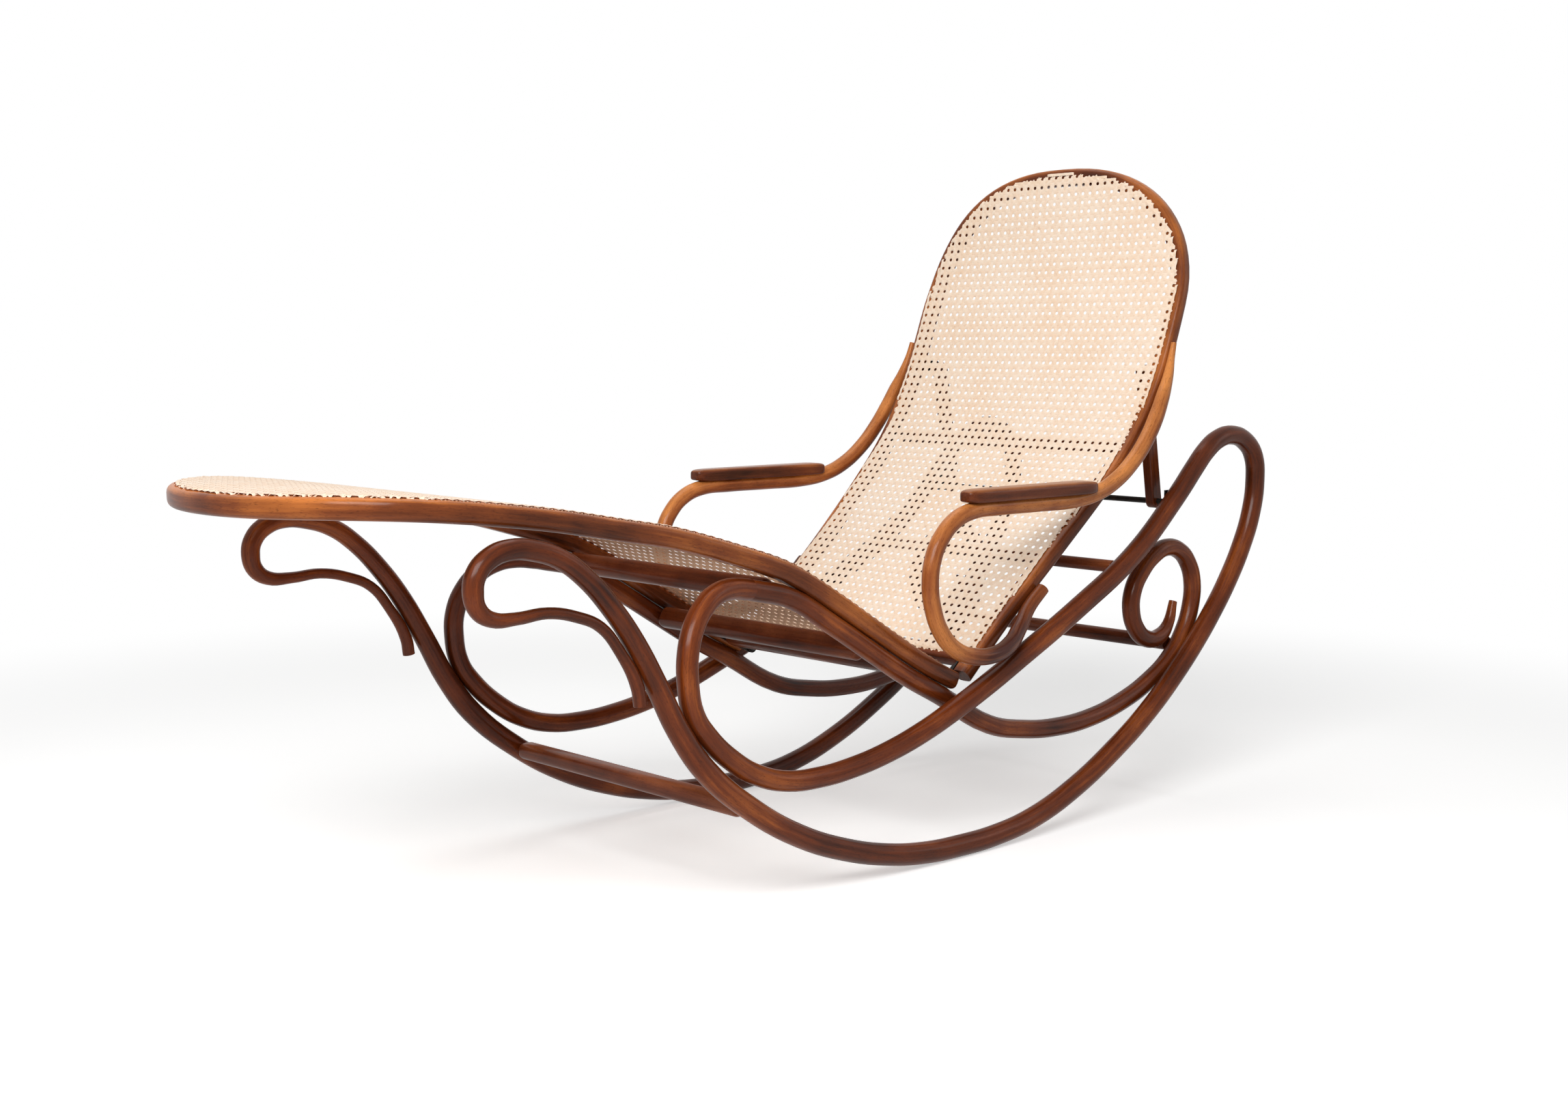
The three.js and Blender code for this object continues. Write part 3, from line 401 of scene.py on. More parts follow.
def lacquered_beech(name, pale, middle, dark, gloss=0.34, patchy=0.95):
    """Beech, spirit-stained and lacquered: long soft streaks, short dark ray flecks, and a satin sheen. The
    flecks are drawn about twice as coarse as real ones, so that they show."""
    material, tree = new_material(name)
    grain = add_node(tree, "ShaderNodeAttribute", attribute_name="grain").outputs["Vector"]
    wear_and_painted_light = add_node(tree, "ShaderNodeAttribute", attribute_name="wear_and_painted_light").outputs["Fac"]
    place = add_node(tree, "ShaderNodeTexCoord").outputs["Object"]

    def along_the_grain(pitch):
        """Coordinates for a pattern with one pitch lengthways and another across."""
        scale = (1 / pitch[0], 1 / pitch[1], 1 / pitch[1])
        return add_node(tree, "ShaderNodeMapping", {"Vector": grain, "Scale": scale}).outputs[0]

    streaks = add_node(tree, "ShaderNodeTexNoise", {
        "Vector": along_the_grain(STREAK_PITCH), "Scale": 1, "Detail": 5, "Roughness": 0.62}).outputs["Fac"]
    flecks = add_node(tree, "ShaderNodeTexNoise", {
        "Vector": along_the_grain(FLECK_PITCH), "Scale": 1, "Detail": 2}).outputs["Fac"]
    patches = add_node(tree, "ShaderNodeTexNoise", {
        "Vector": place, "Scale": 1 / PATCH_PITCH, "Detail": 3, "Roughness": 0.55}).outputs["Fac"]
    rubbed = add_node(tree, "ShaderNodeTexNoise", {
        "Vector": place, "Scale": 1 / RUBBED_PITCH, "Detail": 4}).outputs["Fac"]
    tone = add_node(tree, "ShaderNodeMath", {0: streaks, 1: STREAK_SHARE, 2: MIDDLE_TONE - patchy / 2},
                    operation="MULTIPLY_ADD").outputs[0]
    tone = add_node(tree, "ShaderNodeMath", {0: patches, 1: patchy, 2: tone},
                    operation="MULTIPLY_ADD").outputs[0]
    # Upper faces go lighter in patches: partly wear, partly painted light on the tops.
    wear_and_top_light_tone = add_node(tree, "ShaderNodeMath", {0: rubbed, 1: wear_and_painted_light}, operation="MULTIPLY").outputs[0]
    tone = add_node(tree, "ShaderNodeMath", {0: wear_and_top_light_tone, 1: WEAR_AND_TOP_LIGHT_SHARE, 2: tone},
                    operation="MULTIPLY_ADD").outputs[0]
    colours = add_node(tree, "ShaderNodeValToRGB", {"Fac": tone})
    ramp = colours.color_ramp
    ramp.elements[0].position, ramp.elements[0].color = 0.26, linear(dark)
    ramp.elements[1].position, ramp.elements[1].color = 0.86, linear(pale)
    ramp.elements.new(0.53).color = linear(middle)
    fleck_share = add_node(tree, "ShaderNodeMapRange", {
        "Value": flecks, "From Min": 0.57, "From Max": 0.7, "To Max": 0.42}).outputs[0]
    colour = add_node(tree, "ShaderNodeMix", {0: fleck_share, 6: colours.outputs["Color"], 7: linear(dark)},
                      data_type="RGBA").outputs[2]
    sheen = add_node(tree, "ShaderNodeMapRange", {
        "Value": rubbed, "To Min": gloss - 0.07, "To Max": gloss + 0.12}).outputs[0]
    relief = add_node(tree, "ShaderNodeBump", {
        "Height": streaks, "Strength": 0.12, "Distance": 0.6 * MM}).outputs[0]
    shader = add_node(tree, "ShaderNodeBsdfPrincipled", {
        "Base Color": colour, "Roughness": sheen, "Normal": relief, "Specular IOR Level": 0.05,
        "Coat Weight": 0.26, "Coat Roughness": 0.17, "Coat IOR": 1.5})
    add_node(tree, "ShaderNodeOutputMaterial", {"Surface": shader.outputs[0]})
    return material


beech = lacquered_beech("red_brown_lacquered_bent_beech", "#CC7838", "#7C3E1C", "#321308")
seat_hoop = hoop("seat_hoop_rail", seat_panel)
back_hoop = hoop("back_hoop_rail", back_panel)
for rail, node, body in ((seat_hoop, "seat_hoop", "base"), (back_hoop, "back_hoop", "back")):
    rail.data.materials.append(beech)
    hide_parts(node)
    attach(rail, body)

# The cane: split rattan in the six-way pattern, drawn tight over the rails' faces and pegged into a row of
# holes in them. Two strands run side by side along and across at each hole, and single wider ones run both
# diagonals.
CANE_PITCH = 14.5 * MM
CANE_MARGIN = 9.5 * MM
STRAND_WIDTH = 4.5 * MM
DIAGONAL_WIDTH = 4.85 * MM
STRAND_THICKNESS = 0.9 * MM
STRAND_STEPS = 4
PAIR_GAP = 0.3 * MM
WEAVE_HEIGHT = 0.55 * MM
DIAGONAL_HEIGHT = 0.85 * MM
CANE_LIFT = 1.5 * MM
PEG_RUN = 3.5 * MM
PEG_DROP = 3.2 * MM
END_RAIL_WIDTH = 30 * MM
SEAT_END_RAIL = 0.047
BACK_END_RAIL = 0.05
COLUMNS = 20
DIAGONALS_BEFORE = 36
DIAGONALS_AFTER = 40
OVERRUN = 0.8
TINT_STEP = 0.618
BLOTCH_PITCH = 111 * MM
NODE_SPOT_PITCH = 4.76 * MM


def cane_outline(panel, rail_share):
    """Where the cane starts on the end rail, and its edge from there round the hoop."""
    first = rail_share * panel.length - (END_RAIL_WIDTH / 2 - CANE_MARGIN)
    along, half = panel.edge(first, RAIL_WIDTH / 2 - CANE_MARGIN)
    return first, along, half


def strands(panel, outline, starts, heading, width, height_at):
    """Flat strips of cane from edge to edge of the panel: one for each start, all on one heading."""
    first, edge_along, edge_half = outline
    step = CANE_PITCH / STRAND_STEPS / max(abs(heading[0]), abs(heading[1]))
    runs = np.arange(0, (panel.length + OVERRUN) * 2, step)
    rings = []
    tints = []
    for number, (along, across) in enumerate(starts):
        line_along = along + runs * heading[0]
        line_across = across + runs * heading[1]
        room = np.interp(line_along, edge_along, edge_half, left=-1, right=-1)
        inside = np.flatnonzero((np.abs(line_across) <= room) & (line_along >= first))
        if len(inside) < STRAND_STEPS:
            continue
        kept = slice(inside[0], inside[-1] + 1)
        line_along, line_across, run = line_along[kept], line_across[kept], runs[kept]
        from_end = np.minimum(run - run[0], run[-1] - run)
        pegged = 1 - smoothstep(from_end, 0, PEG_RUN)
        lift = panel.depth / 2 + CANE_LIFT + height_at(line_along, line_across, number) - pegged * PEG_DROP
        ring = []
        half, crown = width / 2, STRAND_THICKNESS / 2
        for out, up in ((-half, 0), (0, crown), (half, 0), (0, -crown)):
            ring.append(panel.place(line_along - heading[1] * out, line_across + heading[0] * out, lift + up))
        rings.append(np.stack(ring, axis=1))
        tints.append(np.full(len(run) * 4, (number * TINT_STEP) % 1))
    return rings, np.concatenate(tints)


def strand_mesh(name, rings, tints):
    """All the strands of one heading as one piece, each a closed strip with a crowned face."""
    points, faces, start = [], [], 0
    for ring in rings:
        count = len(ring)
        at = start + np.arange(count * 4).reshape(count, 4)
        upper, lower = at[:-1], at[1:]
        walls = np.stack([upper, np.roll(upper, -1, 1), np.roll(lower, -1, 1), lower], axis=-1)
        faces.append(walls.reshape(-1, 4))
        faces.append(np.stack([at[0][::-1], at[-1]]))
        points.append(ring.reshape(-1, 3))
        start += count * 4
    points, faces = np.concatenate(points), np.concatenate(faces)
    mesh = bpy.data.meshes.new(name)
    mesh.vertices.add(len(points))
    mesh.vertices.foreach_set("co", points.ravel())
    mesh.loops.add(faces.size)
    mesh.loops.foreach_set("vertex_index", faces.ravel())
    mesh.polygons.add(len(faces))
    mesh.polygons.foreach_set("loop_start", np.arange(len(faces)) * 4)
    mesh.update(calc_edges=True)
    note_on_points(mesh, "shade", tints)
    note_on_points(mesh, "underside", np.tile((0.5, 0, 0.5, 1), len(points) // 4))
    piece = bpy.data.objects.new(name, mesh)
    bpy.context.scene.collection.objects.link(piece)
    facing_out(piece)
    return piece


def weave(panel, name, rail_share):
    """The four headings of the pattern. Beside each hole the pairs pass over and under each other in turn."""
    outline = cane_outline(panel, rail_share)
    first = outline[0]
    turn = tau / CANE_PITCH
    beside_hole = (STRAND_WIDTH + PAIR_GAP) / 2
    rows = first + CANE_PITCH * (np.arange(round(panel.length / CANE_PITCH) + 2) + 0.5)
    columns = CANE_PITCH * np.arange(-COLUMNS, COLUMNS + 1)
    diagonal_rows = first + CANE_PITCH * np.arange(-DIAGONALS_BEFORE, len(rows) + DIAGONALS_AFTER)

    def along_height(along, across, number):
        side = 1 if number % 2 else -1
        return side * WEAVE_HEIGHT * np.sin(turn * (along - rows[0]))

    def across_height(along, across, number):
        side = -1 if number % 2 else 1
        return side * WEAVE_HEIGHT * np.sin(turn * across)

    def rising_height(along, across, number):
        return DIAGONAL_HEIGHT * np.cos(turn * across)

    def falling_height(along, across, number):
        return -DIAGONAL_HEIGHT * np.cos(turn * across)

    far = COLUMNS * CANE_PITCH
    slant = 0.5 ** 0.5
    along_starts = [(first, column + side * beside_hole) for column in columns for side in (-1, 1)]
    across_starts = [(row + side * beside_hole, -far) for row in rows for side in (-1, 1)]
    rising_starts = [(row, -far) for row in diagonal_rows]
    falling_starts = [(row, far) for row in diagonal_rows]
    pieces = []
    for heading_name, starts, heading, width, height_at in (
            ("along", along_starts, (1, 0), STRAND_WIDTH, along_height),
            ("across", across_starts, (0, 1), STRAND_WIDTH, across_height),
            ("rising", rising_starts, (slant, slant), DIAGONAL_WIDTH, rising_height),
            ("falling", falling_starts, (slant, -slant), DIAGONAL_WIDTH, falling_height)):
        rings, tints = strands(panel, outline, starts, heading, width, height_at)
        pieces.append(strand_mesh(f"{name}_strands_{heading_name}", rings, tints))
    return pieces


def split_rattan(name, pale, middle, shadow, pith):
    """Split rattan, bleached and hardly aged. Its upper side is the stem's glossy skin, each strand with its
    own tint and darker spots at its nodes. Its underside is the dull, browner pith."""
    material, tree = new_material(name)
    shade = add_node(tree, "ShaderNodeAttribute", attribute_name="shade").outputs["Fac"]
    place = add_node(tree, "ShaderNodeTexCoord").outputs["Object"]
    blotches = add_node(tree, "ShaderNodeTexNoise", {
        "Vector": place, "Scale": 1 / BLOTCH_PITCH, "Detail": 3}).outputs["Fac"]
    spots = add_node(tree, "ShaderNodeTexNoise", {
        "Vector": place, "Scale": 1 / NODE_SPOT_PITCH, "Detail": 2}).outputs["Fac"]
    tone = add_node(tree, "ShaderNodeMath", {0: shade, 1: 0.4, 2: 0.02}, operation="MULTIPLY_ADD").outputs[0]
    tone = add_node(tree, "ShaderNodeMath", {0: blotches, 1: 0.7, 2: tone},
                    operation="MULTIPLY_ADD").outputs[0]
    colours = add_node(tree, "ShaderNodeValToRGB", {"Fac": tone})
    ramp = colours.color_ramp
    ramp.elements[0].position, ramp.elements[0].color = 0.2, linear(middle)
    ramp.elements[1].position, ramp.elements[1].color = 0.8, linear(pale)
    spot_share = add_node(tree, "ShaderNodeMapRange", {
        "Value": spots, "From Min": 0.62, "From Max": 0.74, "To Max": 0.3}).outputs[0]
    colour = add_node(tree, "ShaderNodeMix", {0: spot_share, 6: colours.outputs["Color"], 7: linear(shadow)},
                      data_type="RGBA").outputs[2]
    side = add_node(tree, "ShaderNodeAttribute", attribute_name="underside").outputs["Fac"]
    below = add_node(tree, "ShaderNodeMath", {0: side, 1: 0.5}, operation="GREATER_THAN").outputs[0]
    colour = add_node(tree, "ShaderNodeMix", {0: below, 6: colour, 7: linear(pith)},
                      data_type="RGBA").outputs[2]
    dullness = add_node(tree, "ShaderNodeMapRange", {
        "Value": below, "To Min": 0.46, "To Max": 0.75}).outputs[0]
    relief = add_node(tree, "ShaderNodeBump", {
        "Height": spots, "Strength": 0.1, "Distance": 0.3 * MM}).outputs[0]
    shader = add_node(tree, "ShaderNodeBsdfPrincipled", {
        "Base Color": colour, "Roughness": dullness, "Normal": relief, "Specular IOR Level": 0.25})
    add_node(tree, "ShaderNodeOutputMaterial", {"Surface": shader.outputs[0]})
    return material


cane = split_rattan("bleached_split_rattan", "#FFEBD6", "#F9DABC", "#D3A278", "#E9BF9F")
for panel, node, rail_share, body in (
        (seat_panel, "seat_cane", SEAT_END_RAIL, "base"),
        (back_panel, "back_cane", BACK_END_RAIL, "back")):
    for piece in weave(panel, node, rail_share):
        piece.data.materials.append(cane)
        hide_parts(node)
        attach(piece, body)

# The side frames: on each side one long beech rod, steamed and bent in a single plane from the slim tail and
# scroll at the foot, down the runner, round the head loop and back down the diagonal to the front loop. From
# there it moves inward, runs up under the seat as its bearer and ends in the rear curl.
FRAME_LENGTH = 1.524
FRAME_HEIGHT = 0.561
HINGE_ALONG = 0.547
HINGE_UP = 0.404
FRAME_FRONT = HINGE[0] - HINGE_ALONG * FRAME_LENGTH
FRAME_LOW = HINGE[2] - HINGE_UP * FRAME_HEIGHT
BEARER_RADIUS = 14 * MM
TAIL_RADIUS = 7 * MM
TAIL_END_RADIUS = 8.5 * MM
SCROLL_RADIUS = 12.5 * MM
SCROLL_THICKENS = (2, 6.5)
CURL_TIP_RADIUS = 6.5 * MM
CURL_FADE = 0.84
BOLT_GAP = 0.6 * MM
INNER_PLANE = SIDE_PLANE - ROD_RADIUS - BEARER_RADIUS - BOLT_GAP
ROD_SIDES = 20
TAIL_END = (0.154, 0.492)
SCROLL = [
    (0.116, 0.672), (0.093, 0.7), (0.066, 0.715), (0.037, 0.711), (0.016, 0.715), (0.004, 0.737), (0, 0.773),
    (0.003, 0.809), (0.015, 0.839), (0.033, 0.852), (0.054, 0.846), (0.078, 0.824), (0.101, 0.781)]
DESCENT = [(0.125, 0.715), (0.148, 0.633), (0.171, 0.528), (0.193, 0.421), (0.221, 0.322)]
RUNNER = [
    (0.271, 0.212), (0.326, 0.124), (0.381, 0.064), (0.435, 0.025), (0.485, 0.005), (0.533, 0),
    (0.581, 0.003), (0.637, 0.024), (0.699, 0.077), (0.761, 0.155), (0.817, 0.243), (0.862, 0.333),
    (0.897, 0.415)]
HEAD_LOOP = [
    (0.926, 0.494), (0.953, 0.579), (0.977, 0.674), (0.994, 0.772), (1, 0.864), (0.996, 0.934), (0.979, 0.98),
    (0.953, 1), (0.928, 0.989), (0.908, 0.959), (0.889, 0.915)]
DIAGONAL = [
    (0.867, 0.859), (0.844, 0.805), (0.821, 0.753), (0.796, 0.703), (0.761, 0.645), (0.712, 0.579),
    (0.664, 0.517), (0.616, 0.459), (0.571, 0.405)]
LOWER_CURVE = [(0.524, 0.354), (0.479, 0.311), (0.434, 0.279), (0.391, 0.26), (0.35, 0.253)]
LOOP_START = [(0.312, 0.26), (0.279, 0.287), (0.251, 0.331)]
LOOP_TOP = [
    (0.203, 0), (0.204, 0.235), (0.212, 0.447), (0.226, 0.635), (0.243, 0.771), (0.263, 0.863),
    (0.286, 0.904)]
LOOP_FRONT_HEIGHT = 0.524
BEARER = [0.33, 0.25, 0.17, 0.09, 0.025]
CURL = [
    (0.592, 0.281), (0.643, 0.249), (0.695, 0.236), (0.75, 0.243), (0.802, 0.272), (0.842, 0.311),
    (0.877, 0.364), (0.902, 0.434), (0.915, 0.509), (0.917, 0.58), (0.908, 0.637), (0.892, 0.674),
    (0.87, 0.687), (0.848, 0.669), (0.827, 0.626), (0.814, 0.575), (0.812, 0.52), (0.821, 0.467),
    (0.838, 0.435), (0.86, 0.434), (0.876, 0.468), (0.884, 0.53)]
TAIL_TOUCH = (0.103, 0.056)
LOOP_TOUCH = (0.206, 0.1735)
OUTER_PARTS = ("front_scroll", "runner", "rear_loop", "diagonal", "front_loop")


def frame_place(pair, plane):
    return np.array([FRAME_FRONT + pair[0] * FRAME_LENGTH, plane, FRAME_LOW + pair[1] * FRAME_HEIGHT])


def beside(line, share, distance):
    """A place beside a smooth line in the side view, at a distance to its upper side."""
    at = round(share * (len(line) - 1))
    slope = unit(np.gradient(line, axis=0)[at])
    return line[at] + np.array([-slope[2], 0, slope[0]]) * distance


def seat_height(x):
    nearest = np.abs(seat_panel.line[:, 0] - x).argmin()
    return seat_panel.line[nearest, 2]


def side_route(sign):
    """The whole rod of one side: its places, and how many of them come before the bearer."""
    plane = sign * SIDE_PLANE
    inner = sign * INNER_PLANE

    def outer(pairs):
        return [frame_place(pair, plane) for pair in pairs]

    fall = smooth_line(outer(DESCENT + RUNNER), steps=40)
    tail = outer([TAIL_END])
    for share, radius in zip(TAIL_TOUCH, (TAIL_END_RADIUS, TAIL_RADIUS)):
        tail.append(beside(fall, share, -(radius + ROD_RADIUS + BOLT_GAP)))
    apart = ROD_RADIUS + BEARER_RADIUS + BOLT_GAP
    loop_start = outer(LOOP_START) + [beside(fall, share, apart) for share in LOOP_TOUCH]
    drop = seat_panel.depth / 2 + BEARER_RADIUS + BOLT_GAP
    loop_top = []
    for number, (along, up) in enumerate(LOOP_TOP):
        inward = smoothstep(number, 0, len(LOOP_TOP))
        place = frame_place((along, LOOP_FRONT_HEIGHT), plane + (inner - plane) * inward)
        place[2] += (seat_height(place[0]) - drop - place[2]) * up
        loop_top.append(place)
    bearer = [seat_panel.place(share * seat_panel.length, inner, -drop) for share in BEARER]
    curl = [frame_place(pair, inner) for pair in CURL]
    outer_chain = tail + outer(SCROLL + DESCENT + RUNNER + HEAD_LOOP + DIAGONAL + LOWER_CURVE)
    outer_chain += loop_start + loop_top
    return outer_chain + bearer + curl, len(outer_chain)


def side_radii():
    """The rod is slim at the tail, full from the runner to the diagonal, and thins to the tip of the curl."""
    thicken = smoothstep(np.arange(len(SCROLL)), *SCROLL_THICKENS)
    radii = [TAIL_END_RADIUS, TAIL_END_RADIUS, TAIL_RADIUS]
    radii += list(TAIL_RADIUS + (SCROLL_RADIUS - TAIL_RADIUS) * thicken)
    radii += list(np.linspace(SCROLL_RADIUS, ROD_RADIUS, len(DESCENT) + 1)[1:])
    radii += [ROD_RADIUS] * len(RUNNER + HEAD_LOOP + DIAGONAL)
    radii += list(np.linspace(ROD_RADIUS, BEARER_RADIUS, len(LOWER_CURVE) + 1)[1:])
    radii += [BEARER_RADIUS] * len(LOOP_START + list(LOOP_TOUCH) + LOOP_TOP + BEARER)
    fade = smoothstep(np.arange(len(CURL)), len(CURL) * CURL_FADE, len(CURL) - 1)
    return radii + list(BEARER_RADIUS + (CURL_TIP_RADIUS - BEARER_RADIUS) * fade)


def eased(piece, width, segments=4, angle=40):
    """Rounds a piece's sharp edges."""
    bevel = piece.modifiers.new("eased_edges", "BEVEL")
    bevel.width = width
    bevel.segments = segments
    bevel.limit_method = "ANGLE"
    bevel.angle_limit = radians(angle)
    bpy.context.view_layer.objects.active = piece
    bpy.ops.object.modifier_apply(modifier=bevel.name)


def bent_rod(name, places, radii, steps=5, round_end=0.45):
    """A round rod through its places, made of a bevelled curve, with grain along it and eased ends."""
    bpy.ops.curve.primitive_bezier_curve_add()
    rod = bpy.context.object
    rod.name = name
    spline = rod.data.splines[0]
    spline.bezier_points.add(len(places) - 2)
    for knot, place, radius in zip(spline.bezier_points, places, radii):
        knot.co = place
        knot.radius = radius
        knot.handle_left_type = "AUTO"
        knot.handle_right_type = "AUTO"
    rod.data.bevel_depth = 1
    rod.data.bevel_resolution = ROD_SIDES // 2 - 2
    rod.data.resolution_u = steps
    rod.data.use_fill_caps = True
    bpy.ops.object.convert(target="MESH")
    rod = bpy.context.object
    rod.data.name = name
    rings = points_of(rod).reshape(-1, ROD_SIDES, 3).mean(1)
    count = (len(places) - 1) * steps + 1
    centres = rings[-count:]
    nearest = np.array([np.linalg.norm(centres - ring, axis=1).argmin() for ring in rings])
    mark_grain(rod, centres, np.repeat(nearest, ROD_SIDES), np.array((0.0, 1.0, 0.0)))
    facing_out(rod)
    eased(rod, min(radii[0], radii[-1]) * round_end, angle=60)
    return rod


# The side rods and prop legs take a darker copy of the hoops' beech: painted shade for the shade they lie in,
# low down and behind the seat.
shaded_rod_beech = lacquered_beech("lacquered_beech_rod_painted_shade", "#C26A2E", "#703213", "#2A0E05", gloss=0.32,
                            patchy=0.75)
for sign, side in ((-1, "left"), (1, "right")):
    places, outer_count = side_route(sign)
    radii = side_radii()
    outer_rod = bent_rod(f"side_rod_{side}", places[:outer_count], radii[:outer_count])
    outer_rod.data.materials.append(shaded_rod_beech)
    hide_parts(*[f"{part}_{side}" for part in OUTER_PARTS])
    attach(outer_rod, "base")
    inner_rod = bent_rod(f"bearer_rod_{side}", places[outer_count - 1:], radii[outer_count - 1:])
    inner_rod.data.materials.append(shaded_rod_beech)
    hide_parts(f"seat_bearer_{side}", f"rear_curl_{side}")
    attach(inner_rod, "base")

# The cross members: dark-stained beech bars, screwed on, that join the two side frames and the two rails of
# each panel. Five are sawn and rounded over, and three are turned.
STRETCHER_WIDTH = 30 * MM
BAR_WIDTH = 24 * MM
SEAT_BAR_SHARE = 0.36
BEARER_BAR_SHARE = 0.172
BAR_ROUNDING = 0.44
TURNED_SIDES = 32
dark_beech = lacquered_beech("dark_lacquered_beech_bar", "#A05A34", "#70361C", "#3A180C", gloss=0.38)


def straight_grain(piece, axis):
    """Grain along one axis of a straight piece."""
    points = points_of(piece)
    order = [axis, (axis + 1) % 3, (axis + 2) % 3]
    grain = (points - points.mean(0))[:, order]
    grain[:, 0] += grain_start()
    note_on_points(piece.data, "grain", grain)


def settle(piece):
    """Puts a finished piece's place, turn and size into its mesh."""
    select_only(piece)
    bpy.ops.object.transform_apply(location=True, rotation=True, scale=True)


def finish_bar(bar):
    straight_grain(bar, 1)
    facing_out(bar)
    mark_wear_and_top_light(bar)
    return bar


def sawn_bar(name, node, width, height, lean=0):
    """A sawn bar across the chair, rounded over along its edges."""
    low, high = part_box(node)
    bpy.ops.mesh.primitive_cube_add(size=1, location=(low + high) / 2, rotation=(0, lean, 0))
    bar = bpy.context.object
    bar.name = name
    bar.dimensions = (width, high.y - low.y, height)
    settle(bar)
    eased(bar, min(width, height) * BAR_ROUNDING, segments=8)
    return finish_bar(bar)


def turned_bar(name, node, radius, ease=2 * MM):
    low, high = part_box(node)
    bpy.ops.mesh.primitive_cylinder_add(vertices=TURNED_SIDES, radius=radius, depth=high.y - low.y,
                                        location=(low + high) / 2, rotation=(pi / 2, 0, 0))
    bar = bpy.context.object
    bar.name = name
    settle(bar)
    eased(bar, ease, segments=3)
    return finish_bar(bar)


def panel_lean(panel, share):
    slope = panel.slope(share * panel.length)
    return -atan2(slope[2], slope[0])


seat_lean = panel_lean(seat_panel, SEAT_BAR_SHARE)
bearer_lean = panel_lean(seat_panel, BEARER_BAR_SHARE)
seat_end_lean = panel_lean(seat_panel, SEAT_END_RAIL)
back_end_lean = panel_lean(back_panel, BACK_END_RAIL)
cross_members = {
    "front_stretcher": sawn_bar("front_stretcher_bar", "front_stretcher", STRETCHER_WIDTH, 24 * MM),
    "seat_crossbar": sawn_bar("seat_crossbar_bar", "seat_crossbar", BAR_WIDTH, 30 * MM, seat_lean),
    "bearer_crossbar": sawn_bar("bearer_crossbar_bar", "bearer_crossbar", BAR_WIDTH, 32 * MM, bearer_lean),
    "seat_end_rail": sawn_bar("seat_end_bar", "seat_end_rail", END_RAIL_WIDTH, 26 * MM, seat_end_lean),
    "back_end_rail": sawn_bar("back_end_bar", "back_end_rail", END_RAIL_WIDTH, 23 * MM, back_end_lean),
    "curl_stretcher": turned_bar("curl_stretcher_bar", "curl_stretcher", 11.5 * MM),
    "diagonal_stretcher": turned_bar("diagonal_stretcher_bar", "diagonal_stretcher", 9.5 * MM),
    "back_crossbar": turned_bar("back_crossbar_bar", "back_crossbar", 12.5 * MM),
}
for node, bar in cross_members.items():
    bar.data.materials.append(dark_beech)
    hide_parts(node)
    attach(bar, "back" if node.startswith("back_") else "base")

# The arms: one beech rod a side, bent from beside the back rail down to the level rest, round the front bow
# and up again to the rail beside the hinge. It is screwed to the back hoop at both ends.
ARM_RADIUS = 12 * MM
ARM_AHEAD = 0.121
ARM_BOW_LIFT = 46 * MM
ARM_TOP = 0.715
ARM_TOP_AHEAD = 9.7 * MM
ARM_TOP_TIP = 0.36
ARM_FOOT_TIP = 0.8
ARM_TOP_SPANS = 4
ARM_FOOT_SPANS = 3
SEAT_GAP = 0.3 * MM
# Where the arm's stain is lightened: partly wear from hands, partly painted light.
BOW_WEAR_AND_LIGHT = (-0.09, 0.03)
REST_WEAR_AND_LIGHT = (0.16, 0.2)
HANDLED_ROUND = 0.3
# How much darker the arm's lower end behind is painted: painted shade.
LOWER_END_PAINTED_SHADE = 0.15
ARM = [
    (0.997, 0.97, 0), (0.984, 0.92, 0), (0.964, 0.858, 0.1), (0.934, 0.792, 0.36), (0.897, 0.717, 0.72),
    (0.85, 0.643, 0.95), (0.795, 0.578, 1), (0.716, 0.515, 1), (0.635, 0.48, 1), (0.55, 0.466, 1),
    (0.4, 0.464, 1), (0.25, 0.464, 1), (0.151, 0.459, 1), (0.085, 0.433, 1), (0.036, 0.382, 1),
    (0.008, 0.319, 1), (0, 0.25, 1), (0.009, 0.178, 1), (0.038, 0.101, 1), (0.092, 0.038, 1),
    (0.164, 0.006, 1), (0.239, 0.002, 1), (0.315, 0.022, 0.75), (0.383, 0.061, 0.3), (0.442, 0.12, 0),
    (0.495, 0.176, 0)]


def arm_radii():
    """Both ends of an arm are shaved down to lie close along the back rail."""
    number = np.arange(len(ARM))
    top = 1 - smoothstep(number, 0, ARM_TOP_SPANS)
    foot = smoothstep(number, len(ARM) - 1 - ARM_FOOT_SPANS, len(ARM) - 1)
    return ARM_RADIUS * (1 - (1 - ARM_TOP_TIP) * top - (1 - ARM_FOOT_TIP) * foot)


def arm_route(sign, radii):
    """Places along an arm: against the rail at both ends, and swung out clear of the side frame between."""
    wide = SIDE_PLANE + ROD_RADIUS + RUNNING_GAP + ARM_RADIUS
    top = back_panel.place(ARM_TOP * back_panel.length, 0, ARM_TOP_AHEAD)
    front, low = HINGE[0] - ARM_AHEAD, HINGE[2] + ARM_BOW_LIFT
    places = []
    for (along, up, out), radius in zip(ARM, radii):
        x = front + (top[0] - front) * along
        z = low + (top[2] - low) * up
        up_the_back = min(hypot(x - HINGE[0], z - HINGE[2]), back_panel.length)
        against = back_panel.half_width(up_the_back) + RAIL_WIDTH / 2 + radius + SEAT_GAP
        places.append((x, sign * (against + (wide - against) * out), z))
    return places


